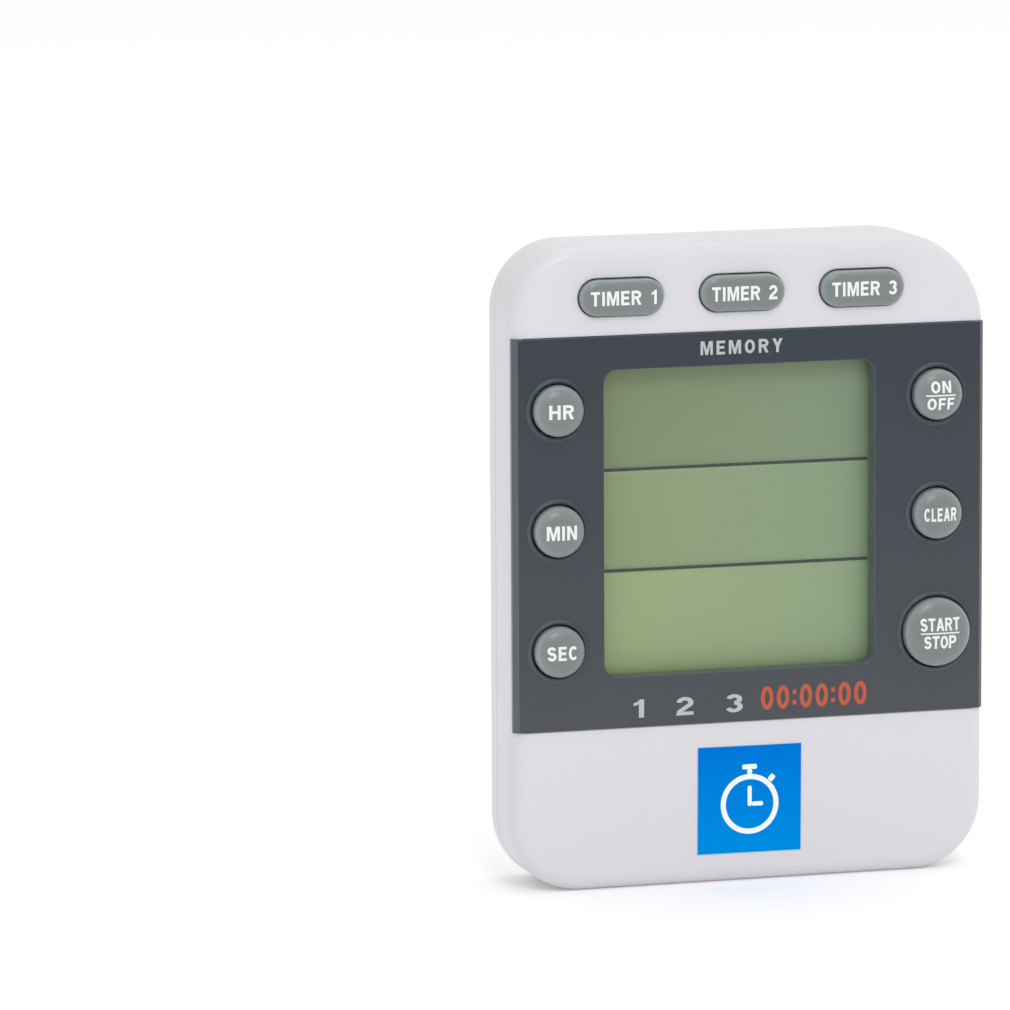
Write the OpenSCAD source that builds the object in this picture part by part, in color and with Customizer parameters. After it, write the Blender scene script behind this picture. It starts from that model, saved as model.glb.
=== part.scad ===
// Digital lab timer with three alarms: a two-part case, a dark face panel, nine sprung keys, a
// liquid crystal display, a circuit board and two AAA cells.
// It stands upright on its bottom edge with its front facing -Y, +X to the right and +Z up.
// The origin is the middle of the bottom face. Sizes are in millimetres.

/* [Case] */
// Width of the case
case_w = 70; // [69:0.5:74]
// Height of the case
case_h = 91.4; // [91.2:0.2:93]
// Depth of the case, front face to rear face
case_t = 16; // [16:0.5:20]
// Depth of the front shell, from the front face back to the parting line
front_depth = 8; // [8:0.5:9]
// Radius of the four corners, seen from the front
corner_r = 10; // [9:0.5:12]
// Rounding of the front edge
front_edge_r = 2; // [1:0.5:3]
// Rounding of the rear edge at the top and at the bottom
rear_end_r = 4; // [2:0.5:4]
// Rounding of the rear edge down each side
rear_side_r = 6; // [3:0.5:6]
// Thickness of the side walls and of the rear wall
wall = 1.6; // [1.5:0.1:1.6]

/* [Face panel] */
// Width of the panel
panel_w = 69.6; // [69:0.1:69.8]
// Height of the panel's lower edge
panel_bottom = 23.1; // [22.9:0.1:24]
// Height of the panel's upper edge
panel_top = 78.6; // [78:0.1:79]
// Thickness of the panel
panel_t = 1.5; // [1.2:0.1:1.5]
// How far the panel stands proud of the shell
panel_proud = 0.3; // [0.1:0.1:0.5]
// Width of the bevel down each side of the panel
panel_bevel = 0.7; // [0.4:0.1:1]
// How far the collars round the keys stand above the panel
collar_h = 0.5; // [0.3:0.1:0.8]
// Width of a collar's ring
collar_w = 0.6; // [0.5:0.1:0.8]

/* [Display] */
// Width of the opening over the display
aperture_w = 40; // [38:0.5:40.5]
// Height of the opening over the display
aperture_h = 43.5; // [42:0.5:44]
// Sideways place of the opening's middle
aperture_x = -1.6; // [-1.6:0.05:-1.3]
// Height of the opening's middle
aperture_z = 52.1; // [51.8:0.05:52.1]
// Corner radius of the opening
aperture_r = 2; // [1:0.5:3]
// Thickness of each display glass
glass_t = 0.7; // [0.55:0.05:0.7]

/* [Keys] */
// Diameter of the five small round keys
key_d = 7.2; // [6.5:0.1:7.3]
// Diameter of the start and stop key
start_key_d = 9.8; // [8.5:0.1:9.8]
// Distance of each key column from the middle between them
key_column_x = 27.95; // [27.8:0.05:28.1]
// Sideways place of the middle between the key columns
key_middle_x = -0.5; // [-0.6:0.1:-0.3]
// Height of the middle row of round keys
key_row_z = 51.55; // [51.4:0.05:51.7]
// Distance between rows of round keys
key_pitch = 17; // [16.8:0.1:17.2]
// Width of the three timer keys
pill_w = 12.2; // [12:0.1:12.6]
// Height of the three timer keys
pill_h = 5.1; // [5:0.1:5.4]
// Sideways place of the middle timer key
pill_x = -1.3; // [-1.5:0.05:-1]
// Distance between timer keys
pill_pitch = 17.7; // [17.5:0.1:17.9]
// Height of the row of timer keys
pill_z = 84.05; // [83.9:0.05:84.2]
// Gap all round a key in its opening
key_gap = 0.25; // [0.2:0.05:0.3]
// How far a key moves when it is pressed
key_travel = 0.7; // [0.5:0.1:0.8]

/* [Cells] */
// Diameter of an AAA cell
cell_d = 10.5; // [10:0.1:10.5]
// Length of an AAA cell
cell_l = 44.5; // [43.5:0.1:44.5]

/* [Back] */
// Width of the stand leg
leg_w = 28.6; // [24:0.2:28.6]
// Height of the stand's hinge
leg_hinge_z = 65.4; // [60:0.2:65.4]
// Length of the stand leg, from its hinge to its tip
leg_l = 35.5; // [25:0.5:35.5]
// Diameter of the two magnets
magnet_d = 9; // [7:0.5:9]
// Sideways place of the volume slider
volume_x = 22.5; // [22:0.5:23]
// Height of the volume slider's middle
volume_z = 50; // [46:1:52]
// Total travel of the volume slider
volume_travel = 4; // [3:0.5:4]

/* [Hidden] */
$fn = 48;
// Overshoot of a cut past the face that it leaves
cut = 1;
// Gap between parts that lie against each other without touching
clear = 0.1;

// Depths, from the front face back to the rear face
front_y = -case_t / 2;
rear_y = case_t / 2;
split_y = front_y + front_depth;
panel_front_y = front_y - panel_proud;
panel_back_y = panel_front_y + panel_t;
front_wall_t = 2.6;
front_inner_y = front_y + front_wall_t;
rear_inner_y = rear_y - wall;
window_back_y = front_inner_y;
window_t = 0.6;
window_front_y = window_back_y - window_t;
polarizer_y = window_back_y + 0.3;
sheet_t = 0.2;
front_glass_y = polarizer_y + sheet_t;
rear_glass_y = front_glass_y + glass_t;
reflector_y = rear_glass_y + glass_t;
board_front_y = -1.6;
board_t = 1.6;
board_back_y = board_front_y + board_t;
keypad_t = 0.8;
keypad_y = board_front_y - keypad_t;
pressed_dome_h = 0.85;
dome_y = keypad_y - key_travel - pressed_dome_h;
flange_y = front_inner_y + clear;

// Display
window_w = aperture_w + 3;
window_h = aperture_h + 3;
glass_w = aperture_w + 2.1;
front_glass_h = aperture_h + 4;
rear_glass_h = aperture_h + 0.6;
frame_wall = 0.6;
frame_w = glass_w + 2 * (clear + frame_wall);
frame_h = front_glass_h + 2 * (clear + frame_wall);

// Keys: name, diameter, sideways place and height
KEY_COLUMNS = [key_middle_x - key_column_x, key_middle_x + key_column_x];
ROUND_KEYS = [
    ["key_hr", key_d, KEY_COLUMNS[0], key_row_z + key_pitch],
    ["key_min", key_d, KEY_COLUMNS[0], key_row_z],
    ["key_sec", key_d, KEY_COLUMNS[0], key_row_z - key_pitch],
    ["key_on_off", key_d, KEY_COLUMNS[1], key_row_z + key_pitch],
    ["key_clear", key_d, KEY_COLUMNS[1], key_row_z],
    ["key_start_stop", start_key_d, KEY_COLUMNS[1], key_row_z - key_pitch],
];
// Timer keys: name and sideways place
PILL_KEYS = [
    ["key_timer_1", pill_x - pill_pitch],
    ["key_timer_2", pill_x],
    ["key_timer_3", pill_x + pill_pitch],
];
flange_rim = 0.4;
flange_t = 0.8;
plunger_d = 4;
plunger_y = dome_y - clear / 2;
round_key_rise = 1.9;
pill_key_rise = 1.5;
key_dome_rise = 1.5;

// Screws: places seen from the front
case_screw_x = 28.7;
case_screw_top_z = 81.5;
case_screw_bottom_z = 9.5;
CASE_SCREWS = [
    for (x = [-case_screw_x, case_screw_x], z = [case_screw_bottom_z, case_screw_top_z]) [x, z]
];
BOARD_SCREWS = [
    for (x = KEY_COLUMNS, s = [-1, 1]) [x, key_row_z + s * key_pitch / 2],
    for (s = [-1, 1]) [pill_x + s * pill_pitch / 2, pill_z],
];
case_boss_d = 5.2;
case_bore_d = 2.4;
case_pilot_d = 2;
case_head_d = 4;
case_head_h = 1.3;
case_head_y = rear_inner_y;
case_seat_y = case_head_y - case_head_h - clear;
board_boss_d = 3.8;
board_pilot_d = 1.6;
board_head_d = 3.4;
board_head_h = 1.1;

// Battery tray and door
tray_x = 24.3;
tray_bottom = 3.6;
tray_top = 25.1;
tray_side = 1.6;
tray_wall = 1;
tray_floor_y = -4.6;
tray_floor_t = 0.7;
door_x = 25.1;
door_top = 25.6;
door_t = 1.6;
door_gap = 0.2;
door_inner_y = rear_y - door_t;
door_hinge_y = rear_y - door_t / 2;
door_hinge_z = tray_bottom + door_gap + door_t / 2;
door_pin_d = 1;
door_pin_l = 1;
pin_gap = 0.05;

// Cells and contacts
cell_y = tray_floor_y + 0.25 + cell_d / 2;
cell_lower_z = 9;
cell_upper_z = 19.6;
nub_d = 3.8;
nub_l = 0.8;
plate_t = 0.4;
plate_w = 8;
cell_end_x = tray_x - plate_t - clear;
tab_y = 2.8;
tab_w = 1.6;
tab_t = 0.4;
tab_end_x = tray_x + tray_side + 0.9;
tab_upper_z = cell_upper_z;
tab_lower_z = 12.6;
spring_wire = 0.6;
spring_turns = 3.5;
spring_base_r = 3.4;
spring_tip_r = 2.2;

// Stand leg
leg_pocket_depth = 3.2;
leg_pocket_y = rear_y - leg_pocket_depth;
leg_t = 2.6;
leg_gap = 0.3;
leg_hinge_y = rear_y - 1.5;
leg_pin_d = 1.6;
leg_pin_l = 0.9;
pocket_x = leg_w / 2 + leg_gap;
pocket_top = leg_hinge_z + leg_t / 2 + leg_gap;
pocket_bottom = leg_hinge_z - leg_l - leg_gap;
pocket_wall = 1.2;

// Sounder, magnets and volume slider
sounder_z = 79.2;
sounder_d = 15;
sounder_seat_y = rear_inner_y - 1.2;
brass_t = 0.25;
ceramic_d = 10;
ceramic_t = 0.2;
vent_d = 1.3;
vent_ring_r = 3.4;
vent_count = 6;
magnet_x = 23.5;
magnet_z = 74.5;
magnet_t = 1.1;
volume_recess = 0.9;
knob_w = 2.5;
knob_l = 4;
slider_stem = 1.6;
slider_y = 2;
switch_y = 4;

// Front label
label_x = -0.2;
label_w = 15.3;
label_bottom = 4.2;
label_t = 0.12;
label_tilt = 0.35;

// Wires, as points along each run
POWER_WIRE_D = 1;
POWER_WIRES = [
    [
        [26.9, -2.8, 19.6], [28.6, -2.4, 20.8], [30, 0, 24],
        [30.4, 1.3, 28], [30.4, 1.2, 31], [30.4, 0.55, 33],
    ],
    [
        [26.9, 2.8, 12.6], [28.4, 2.8, 13.9], [29.2, 2.8, 18],
        [28.8, 2.4, 25], [28.4, 1.2, 30], [28.4, 0.55, 33],
    ],
];
SOUNDER_WIRE_D = 0.8;
SOUNDER_WIRES = [
    [[-3, 4.1, 78.6], [-6, 3.9, 77.6], [-10, 2.6, 76.4], [-13, 1, 76], [-15, 0.45, 76]],
    [[-6.2, 4.3, 80.2], [-8.6, 3.8, 80], [-11.4, 2.6, 79.6], [-13.6, 1, 79.4], [-15.4, 0.45, 79.4]],
];

CASE_WHITE = "#e3e0e6";
PANEL_GREY = "#4a5058";
KEY_GREY = "#838b89";
STEEL = "#b8babd";
SILICONE = "#c9cbc6";

// ---- Helpers ----

// Extrudes a front view between two depths
module along_y(y0, y1) {
    translate([0, y1, 0])
        rotate([90, 0, 0])
            linear_extrude(y1 - y0)
                children();
}

// A round bar along Y, at a place seen from the front
module rod_y(d, y0, y1, x, z) {
    translate([x, y1, z])
        rotate([90, 0, 0])
            cylinder(d = d, h = y1 - y0);
}

// A round bar along X, at a depth and a height
module rod_x(d, x0, x1, y, z) {
    translate([x0, y, z])
        rotate([0, 90, 0])
            cylinder(d = d, h = x1 - x0);
}

// A block given by its two corners
module block(low, high) {
    translate(low)
        cube(high - low);
}

// A rectangle with rounded corners, centred
module rounded_rect(w, h, r) {
    square([w, h - 2 * r], center = true);
    square([w - 2 * r, h], center = true);
    for (x = [-1, 1], z = [-1, 1])
        translate([x * (w / 2 - r), z * (h / 2 - r)])
            circle(r);
}

// The outline of a timer key, centred
module pill(w, h) {
    square([w - h, h], center = true);
    for (s = [-1, 1])
        translate([s * (w - h) / 2, 0])
            circle(d = h);
}

// The section of half of the case, for a case that reaches out to half_size each way: from the
// parting line to a face at depth face_y, whose edge is rounded by edge_r
function half_section(half_size, face_y, edge_r) =
    let (
        side = sign(face_y - split_y),
        edge = [
            for (a = [0 : 22.5 : 90])
                [half_size - edge_r * (1 - sin(a)), face_y - side * edge_r * (1 - cos(a))],
        ]
    )
    concat(
        [for (p = edge) p],
        [[half_size, split_y], [-half_size, split_y]],
        [for (i = [len(edge) - 1 : -1 : 0]) [-edge[i][0], edge[i][1]]]
    );

// Half of the case as a solid: its plan, its side view and its front view, in common
module case_half(face_y, side_r, end_r) {
    intersection() {
        linear_extrude(case_h)
            polygon(half_section(case_w / 2, face_y, side_r));
        translate([case_w / 2, 0, case_h / 2])
            rotate([0, -90, 0])
                linear_extrude(case_w)
                    polygon(half_section(case_h / 2, face_y, end_r));
        translate([0, 0, case_h / 2])
            along_y(front_y - cut, rear_y + cut)
                rounded_rect(case_w, case_h, corner_r);
    }
}

// The space inside one half of the case
module case_cavity(y0, y1) {
    along_y(y0, y1)
        translate([0, case_h / 2])
            rounded_rect(case_w - 2 * wall, case_h - 2 * wall, corner_r - wall);
}

// The unit vector along v
function unit(v) = v / norm(v);

// The direction of a route at its point i
function heading(route, i) = unit(route[min(i + 1, len(route) - 1)] - route[max(i - 1, 0)]);

// A ring of points round p, square to the direction along
function ring(p, along, ref, d, sides) =
    let (u = unit(cross(along, ref)), v = cross(along, u))
    [for (i = [0 : sides - 1]) p + d / 2 * (cos(360 * i / sides) * u + sin(360 * i / sides) * v)];

// A route with its corners cut, so that it bends smoothly
function cut_corners(route) = [
    route[0],
    for (i = [0 : len(route) - 2]) each [
        0.75 * route[i] + 0.25 * route[i + 1],
        0.25 * route[i] + 0.75 * route[i + 1],
    ],
    route[len(route) - 1],
];

// A round bar of diameter d along a route, no part of which runs along ref
module sweep(route, d, sides, ref) {
    n = len(route);
    points = [for (i = [0 : n - 1]) each ring(route[i], heading(route, i), ref, d, sides)];
    skin = [
        for (i = [0 : n - 2], j = [0 : sides - 1])
            let (k = (j + 1) % sides)
            [i * sides + j, (i + 1) * sides + j, (i + 1) * sides + k, i * sides + k],
    ];
    start_cap = [for (j = [0 : sides - 1]) j];
    end_cap = [for (j = [sides - 1 : -1 : 0]) (n - 1) * sides + j];
    polyhedron(points, concat(skin, [start_cap, end_cap]));
}

// ---- Case ----

module front_shell() {
    color(CASE_WHITE)
        difference() {
            union() {
                difference() {
                    case_half(front_y, front_edge_r, front_edge_r);
                    case_cavity(front_inner_y, split_y + cut);
                }
                for (s = CASE_SCREWS)
                    rod_y(case_boss_d, front_inner_y - cut / 2, split_y, s[0], s[1]);
                for (s = BOARD_SCREWS)
                    rod_y(board_boss_d, front_inner_y - cut / 2, board_front_y, s[0], s[1]);
            }
            panel_recess();
            translate([aperture_x, 0, aperture_z])
                along_y(front_y - cut, front_inner_y + cut)
                    rounded_rect(window_w + 2 * clear, window_h + 2 * clear, aperture_r);
            key_openings(front_y - cut, front_inner_y + cut);
            for (s = CASE_SCREWS)
                rod_y(case_pilot_d, front_inner_y + 0.4, split_y + cut, s[0], s[1]);
            for (s = BOARD_SCREWS)
                rod_y(board_pilot_d, front_inner_y + 0.2, board_front_y + cut, s[0], s[1]);
        }
}

// The seat that the face panel drops into, open at both sides
module panel_recess() {
    block([-case_w, front_y - cut, panel_bottom - clear], [case_w, panel_back_y, panel_top + clear]);
}

// Openings that the keys move in
module key_openings(y0, y1) {
    for (k = ROUND_KEYS)
        rod_y(k[1] + 2 * key_gap, y0, y1, k[2], k[3]);
    for (k = PILL_KEYS)
        translate([k[1], 0, pill_z])
            along_y(y0, y1)
                pill(pill_w + 2 * key_gap, pill_h + 2 * key_gap);
}

module face_panel() {
    half = panel_w / 2;
    color(PANEL_GREY)
        difference() {
            union() {
                translate([0, 0, panel_bottom])
                    linear_extrude(panel_top - panel_bottom)
                        polygon([
                            [-half, panel_back_y],
                            [-half, panel_front_y + 1.2 * panel_bevel],
                            [-half + panel_bevel, panel_front_y],
                            [half - panel_bevel, panel_front_y],
                            [half, panel_front_y + 1.2 * panel_bevel],
                            [half, panel_back_y],
                        ]);
                for (k = ROUND_KEYS)
                    rod_y(
                        k[1] + 2 * (key_gap + collar_w),
                        panel_front_y - collar_h, panel_back_y, k[2], k[3]
                    );
                translate([aperture_x, 0, aperture_z])
                    along_y(panel_front_y + 0.5, window_front_y)
                        rounded_rect(window_w, window_h, aperture_r);
            }
            translate([aperture_x, 0, aperture_z])
                along_y(panel_front_y - cut, window_front_y + cut)
                    rounded_rect(aperture_w, aperture_h, aperture_r);
            for (k = ROUND_KEYS)
                rod_y(k[1] + 2 * key_gap, panel_front_y - collar_h - cut, panel_back_y + cut, k[2], k[3]);
        }
}

module display_window() {
    color("#dfe6e2", 0.4)
        translate([aperture_x, 0, aperture_z])
            along_y(window_front_y, window_back_y)
                rounded_rect(window_w, window_h, aperture_r);
}

module rear_shell() {
    color(CASE_WHITE)
        difference() {
            union() {
                difference() {
                    case_half(rear_y, rear_side_r, rear_end_r);
                    case_cavity(split_y - cut, rear_inner_y);
                }
                for (s = CASE_SCREWS)
                    rod_y(case_boss_d, split_y, rear_inner_y + cut / 2, s[0], s[1]);
                block(
                    [-tray_x - tray_side, tray_floor_y - tray_floor_t, tray_bottom - tray_wall],
                    [tray_x + tray_side, rear_inner_y + cut / 2, tray_top + tray_wall]
                );
                block(
                    [-pocket_x - pocket_wall, leg_pocket_y - pocket_wall, pocket_bottom - pocket_wall],
                    [pocket_x + pocket_wall, rear_inner_y + cut / 2, pocket_top + pocket_wall]
                );
                rod_y(sounder_d, sounder_seat_y, rear_inner_y + cut / 2, 0, sounder_z);
            }
            battery_space();
            leg_space();
            sounder_space();
            volume_slot();
            for (s = CASE_SCREWS) {
                rod_y(case_bore_d, split_y - cut, rear_y + cut, s[0], s[1]);
                rod_y(case_head_d + 2 * clear, case_seat_y, rear_y + cut, s[0], s[1]);
            }
            for (x = [-magnet_x, magnet_x])
                rod_y(magnet_d + 2 * clear, rear_y - magnet_t - clear, rear_y + cut, x, magnet_z);
        }
}

// The battery tray's inside, the door's seat and hinge holes, and slots for the solder tabs
module battery_space() {
    block([-tray_x, tray_floor_y, tray_bottom], [tray_x, rear_y + cut, tray_top]);
    block(
        [-door_x - door_gap, door_inner_y - clear, tray_bottom],
        [door_x + door_gap, rear_y + cut, door_top + door_gap]
    );
    hole_x = door_x + door_pin_l + door_gap;
    rod_x(door_pin_d + 2 * pin_gap, -hole_x, hole_x, door_hinge_y, door_hinge_z);
    for (t = [[-tab_y, tab_upper_z], [tab_y, tab_lower_z]])
        block(
            [tray_x - cut, t[0] - tab_w / 2 - clear, t[1] - tab_t / 2 - clear],
            [tray_x + tray_side + cut, t[0] + tab_w / 2 + clear, t[1] + tab_t / 2 + clear]
        );
}

// The stand leg's pocket and the holes for its two pins
module leg_space() {
    block([-pocket_x, leg_pocket_y, pocket_bottom], [pocket_x, rear_y + cut, pocket_top]);
    hole_x = leg_w / 2 + leg_pin_l + clear;
    rod_x(leg_pin_d + 2 * pin_gap, -hole_x, hole_x, leg_hinge_y, leg_hinge_z);
}

// The sounding chamber inside the sounder's ring, and its vents
module sounder_space() {
    rod_y(sounder_d - 3, sounder_seat_y - cut, rear_inner_y, 0, sounder_z);
    rod_y(vent_d, rear_inner_y - cut, rear_y + cut, 0, sounder_z);
    for (i = [0 : vent_count - 1])
        rod_y(
            vent_d, rear_inner_y - cut, rear_y + cut,
            vent_ring_r * cos(360 * i / vent_count), sounder_z + vent_ring_r * sin(360 * i / vent_count)
        );
}

// The shallow recess and the slot for the volume slider
module volume_slot() {
    slot_half = knob_l / 2 + volume_travel / 2 + key_gap;
    translate([volume_x, 0, volume_z]) {
        along_y(rear_y - volume_recess, rear_y + cut)
            rounded_rect(knob_w + 4, 2 * slot_half + 4, 1.5);
        block(
            [-knob_w / 2 - key_gap, rear_inner_y - cut, -slot_half],
            [knob_w / 2 + key_gap, rear_y + cut, slot_half]
        );
    }
}

module battery_door() {
    color(CASE_WHITE) {
        difference() {
            block([-door_x, door_inner_y, door_hinge_z], [door_x, rear_y, door_top]);
            block([-7, rear_y - 0.8, door_top - 6], [7, rear_y + cut, door_top - 1.5]);
        }
        for (i = [0 : 2])
            rod_x(0.8, -6, 6, rear_y - 0.8, door_top - 2.6 - 1.3 * i);
        rod_x(door_t, -door_x, door_x, door_hinge_y, door_hinge_z);
        rod_x(door_pin_d, -door_x - door_pin_l, door_x + door_pin_l, door_hinge_y, door_hinge_z);
    }
}

module stand_leg() {
    color(CASE_WHITE) {
        difference() {
            block(
                [-leg_w / 2, leg_hinge_y - leg_t / 2, leg_hinge_z - leg_l],
                [leg_w / 2, leg_hinge_y + leg_t / 2, leg_hinge_z]
            );
            translate([0, leg_hinge_y + leg_t / 2 + 4.6, leg_hinge_z - leg_l + 4])
                rotate([0, 90, 0])
                    cylinder(d = 12, h = leg_w / 2, center = true);
        }
        rod_x(leg_t, -leg_w / 2, leg_w / 2, leg_hinge_y, leg_hinge_z);
        rod_x(leg_pin_d, -leg_w / 2 - leg_pin_l, leg_w / 2 + leg_pin_l, leg_hinge_y, leg_hinge_z);
    }
}

module front_label() {
    color("#0a82dc")
        translate([label_x, 0, label_bottom + label_w / 2])
            rotate([0, label_tilt, 0])
                along_y(front_y - label_t, front_y)
                    square(label_w, center = true);
}

// ---- Fasteners and magnets ----

module case_screws() {
    color(STEEL)
        for (s = CASE_SCREWS)
            difference() {
                union() {
                    rod_y(case_pilot_d - 0.04, front_inner_y + 1, case_head_y - 0.3, s[0], s[1]);
                    rod_y(case_head_d, case_head_y - case_head_h, case_head_y, s[0], s[1]);
                }
                cross_slot(s, case_head_y, 2, 0.5);
            }
}

module board_screws() {
    color(STEEL)
        for (s = BOARD_SCREWS)
            difference() {
                union() {
                    rod_y(board_pilot_d - 0.04, front_inner_y + 0.6, board_back_y + 0.5, s[0], s[1]);
                    rod_y(board_head_d, board_back_y, board_back_y + board_head_h, s[0], s[1]);
                }
                cross_slot(s, board_back_y + board_head_h, 1.8, 0.4);
            }
}

// A cross recess in a screw's head, whose face is at depth head_y
module cross_slot(place, head_y, l, w) {
    translate([place[0], head_y, place[1]])
        for (a = [0, 90])
            rotate([0, a, 0])
                cube([l, 1.4, w], center = true);
}

module magnets() {
    color("silver")
        for (x = [-magnet_x, magnet_x])
            rod_y(magnet_d, rear_y - magnet_t - clear / 2, rear_y - clear / 2, x, magnet_z);
}

// ---- Volume control ----

module volume_slider() {
    plate_l = knob_l + 2 * volume_travel + 1;
    rib_pitch = 1.4;
    rib_w = 0.7;
    color("#3c4044")
        translate([volume_x, 0, volume_z]) {
            block(
                [-slider_stem / 2, slider_y, -slider_stem / 2],
                [slider_stem / 2, rear_inner_y, slider_stem / 2]
            );
            block([-2.4, rear_inner_y - 0.8, -plate_l / 2], [2.4, rear_inner_y - 0.2, plate_l / 2]);
            block([-knob_w / 2, rear_inner_y - 0.5, -knob_l / 2], [knob_w / 2, rear_y - 0.4, knob_l / 2]);
            for (i = [-1 : 1])
                block(
                    [-knob_w / 2, rear_y - 1, rib_pitch * i - rib_w / 2],
                    [knob_w / 2, rear_y - clear / 2, rib_pitch * i + rib_w / 2]
                );
        }
}

module volume_switch() {
    slot_half = slider_stem / 2 + volume_travel / 2 + 0.4;
    color(STEEL)
        translate([volume_x, 0, volume_z])
            difference() {
                block([-2.8, board_back_y, -5.5], [2.8, switch_y, 5.5]);
                block(
                    [-slider_stem / 2 - key_gap, slider_y - key_gap, -slot_half],
                    [slider_stem / 2 + key_gap, switch_y + cut, slot_half]
                );
            }
}

// ---- Keys ----

// A round key: a domed cap, a rim that keeps it in the case, and a plunger
module round_key(d, x, z) {
    rise = panel_front_y - collar_h - round_key_rise;
    rim_r = d / 2 + flange_rim;
    color(KEY_GREY)
        translate([x, 0, z])
            rotate([-90, 0, 0])
                rotate_extrude()
                    polygon([
                        [0, rise],
                        for (a = [15 : 15 : 90]) [d / 2 * sin(a), rise + key_dome_rise * (1 - cos(a))],
                        [d / 2, flange_y],
                        [rim_r, flange_y],
                        [rim_r, flange_y + flange_t],
                        [plunger_d / 2, flange_y + flange_t],
                        [plunger_d / 2, plunger_y],
                        [0, plunger_y],
                    ]);
}

// A pill-shaped timer key, built up the same way
module pill_key(x) {
    rise = front_y - pill_key_rise;
    color(KEY_GREY)
        translate([x, 0, pill_z]) {
            along_y(rise, rise + 0.4)
                pill(pill_w - 1, pill_h - 1);
            along_y(rise + 0.4, flange_y + 0.1)
                pill(pill_w, pill_h);
            along_y(flange_y, flange_y + flange_t)
                pill(pill_w + 2 * flange_rim, pill_h + 2 * flange_rim);
            rod_y(plunger_d, flange_y, plunger_y, 0, 0);
        }
}

// The keypad's outline: a column behind each row of round keys, and a row behind the timer keys
module keypad_outline() {
    column_x = 28.2;
    column_w = 8.4;
    column_h = 2 * key_pitch + 10;
    row_w = 51.4;
    row_h = 8.1;
    link_w = 1.7;
    for (s = [-1, 1]) {
        translate([s * column_x, key_row_z])
            square([column_w, column_h], center = true);
        translate([s * (row_w - link_w) / 2, (key_row_z + pill_z) / 2])
            square([link_w, pill_z - key_row_z], center = true);
    }
    translate([0, pill_z])
        square([row_w, row_h], center = true);
}

module rubber_keypad() {
    dome_d = 5;
    color(SILICONE)
        difference() {
            union() {
                along_y(keypad_y, board_front_y)
                    keypad_outline();
                for (k = ROUND_KEYS)
                    rod_y(dome_d, dome_y, keypad_y + 0.1, k[2], k[3]);
                for (k = PILL_KEYS)
                    rod_y(dome_d, dome_y, keypad_y + 0.1, k[1], pill_z);
            }
            for (s = BOARD_SCREWS)
                rod_y(board_boss_d + 0.8, keypad_y - cut, board_front_y + cut, s[0], s[1]);
        }
}

// ---- Circuit board ----

module main_board() {
    board_w = 65.2;
    board_bottom = 28.9;
    board_top = 88.2;
    color("#2f6b45")
        difference() {
            translate([0, 0, (board_bottom + board_top) / 2])
                along_y(board_front_y, board_back_y)
                    rounded_rect(board_w, board_top - board_bottom, 7);
            for (s = CASE_SCREWS)
                rod_y(case_boss_d + 0.8, board_front_y - cut, board_back_y + cut, s[0], s[1]);
            for (s = BOARD_SCREWS)
                rod_y(board_pilot_d + 0.4, board_front_y - cut, board_back_y + cut, s[0], s[1]);
        }
}

// A low dome of black resin over the controller chip
module controller_blob() {
    r = 6;
    h = 1.6;
    color("#15161a")
        translate([-6, board_back_y, 58])
            rotate([-90, 0, 0])
                rotate_extrude()
                    polygon([[0, 0], for (a = [0 : 15 : 90]) [r * cos(a), h * sin(a)]]);
}

module crystal() {
    color("silver")
        translate([7, board_back_y + 1.05, 55])
            cylinder(d = 2, h = 6);
}

module filter_capacitor() {
    d = 5;
    color("#22262e")
        translate([-22.5, board_back_y + d / 2 + 0.05, 36])
            cylinder(d = d, h = 7);
}

// Two rows of chip resistors and capacitors
module chip_parts() {
    color("#b59a6a")
        for (x = [-12 : 4 : 12], z = [46, 67])
            block([x - 1, board_back_y, z - 0.6], [x + 1, board_back_y + 0.6, z + 0.6]);
}

// ---- Display ----

// A plate of the display, centred on the opening
module display_plate(w, h, y0, y1) {
    translate([aperture_x, 0, aperture_z])
        along_y(y0, y1)
            square([w, h], center = true);
}

module lcd_frame() {
    lip_y = front_glass_y - 0.05;
    color("#d8d8d4")
        difference() {
            display_plate(frame_w, frame_h, front_inner_y + 0.05, board_front_y - 0.05);
            display_plate(glass_w - 1.2, rear_glass_h + 0.8, front_inner_y - cut, lip_y + cut);
            display_plate(glass_w + 2 * clear, front_glass_h + 2 * clear, lip_y, board_front_y + cut);
        }
}

module lcd_polarizer() {
    color("#8f9f7c")
        display_plate(glass_w - 1.6, rear_glass_h + 0.4, polarizer_y, front_glass_y);
}

module lcd_front_glass() {
    color("#b9c4b4")
        display_plate(glass_w, front_glass_h, front_glass_y, rear_glass_y);
}

module lcd_rear_glass() {
    color("#b9c4b4")
        display_plate(glass_w, rear_glass_h, rear_glass_y, reflector_y);
}

module lcd_reflector() {
    color("#8fa277")
        display_plate(glass_w - 1.6, rear_glass_h - 0.6, reflector_y, reflector_y + sheet_t);
}

// A conducting rubber strip between the front glass's ledge and the board
module zebra_strip(side) {
    strip_h = 1.4;
    offset_z = (front_glass_h + rear_glass_h) / 4;
    color("#b8a0a0")
        translate([0, 0, side * offset_z])
            display_plate(glass_w - 3, strip_h, rear_glass_y, board_front_y);
}

// ---- Sounder ----

module sounder_disc() {
    color("#c9a24a")
        rod_y(sounder_d, sounder_seat_y - brass_t, sounder_seat_y, 0, sounder_z);
}

module sounder_ceramic() {
    y1 = sounder_seat_y - brass_t;
    color("#e8e6df")
        rod_y(ceramic_d, y1 - ceramic_t, y1, 0, sounder_z);
}

module sounder_wires() {
    color("#b02020")
        for (route = SOUNDER_WIRES)
            sweep(cut_corners(route), SOUNDER_WIRE_D, 8, [0, 0, 1]);
}

// ---- Cells and contacts ----

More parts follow.
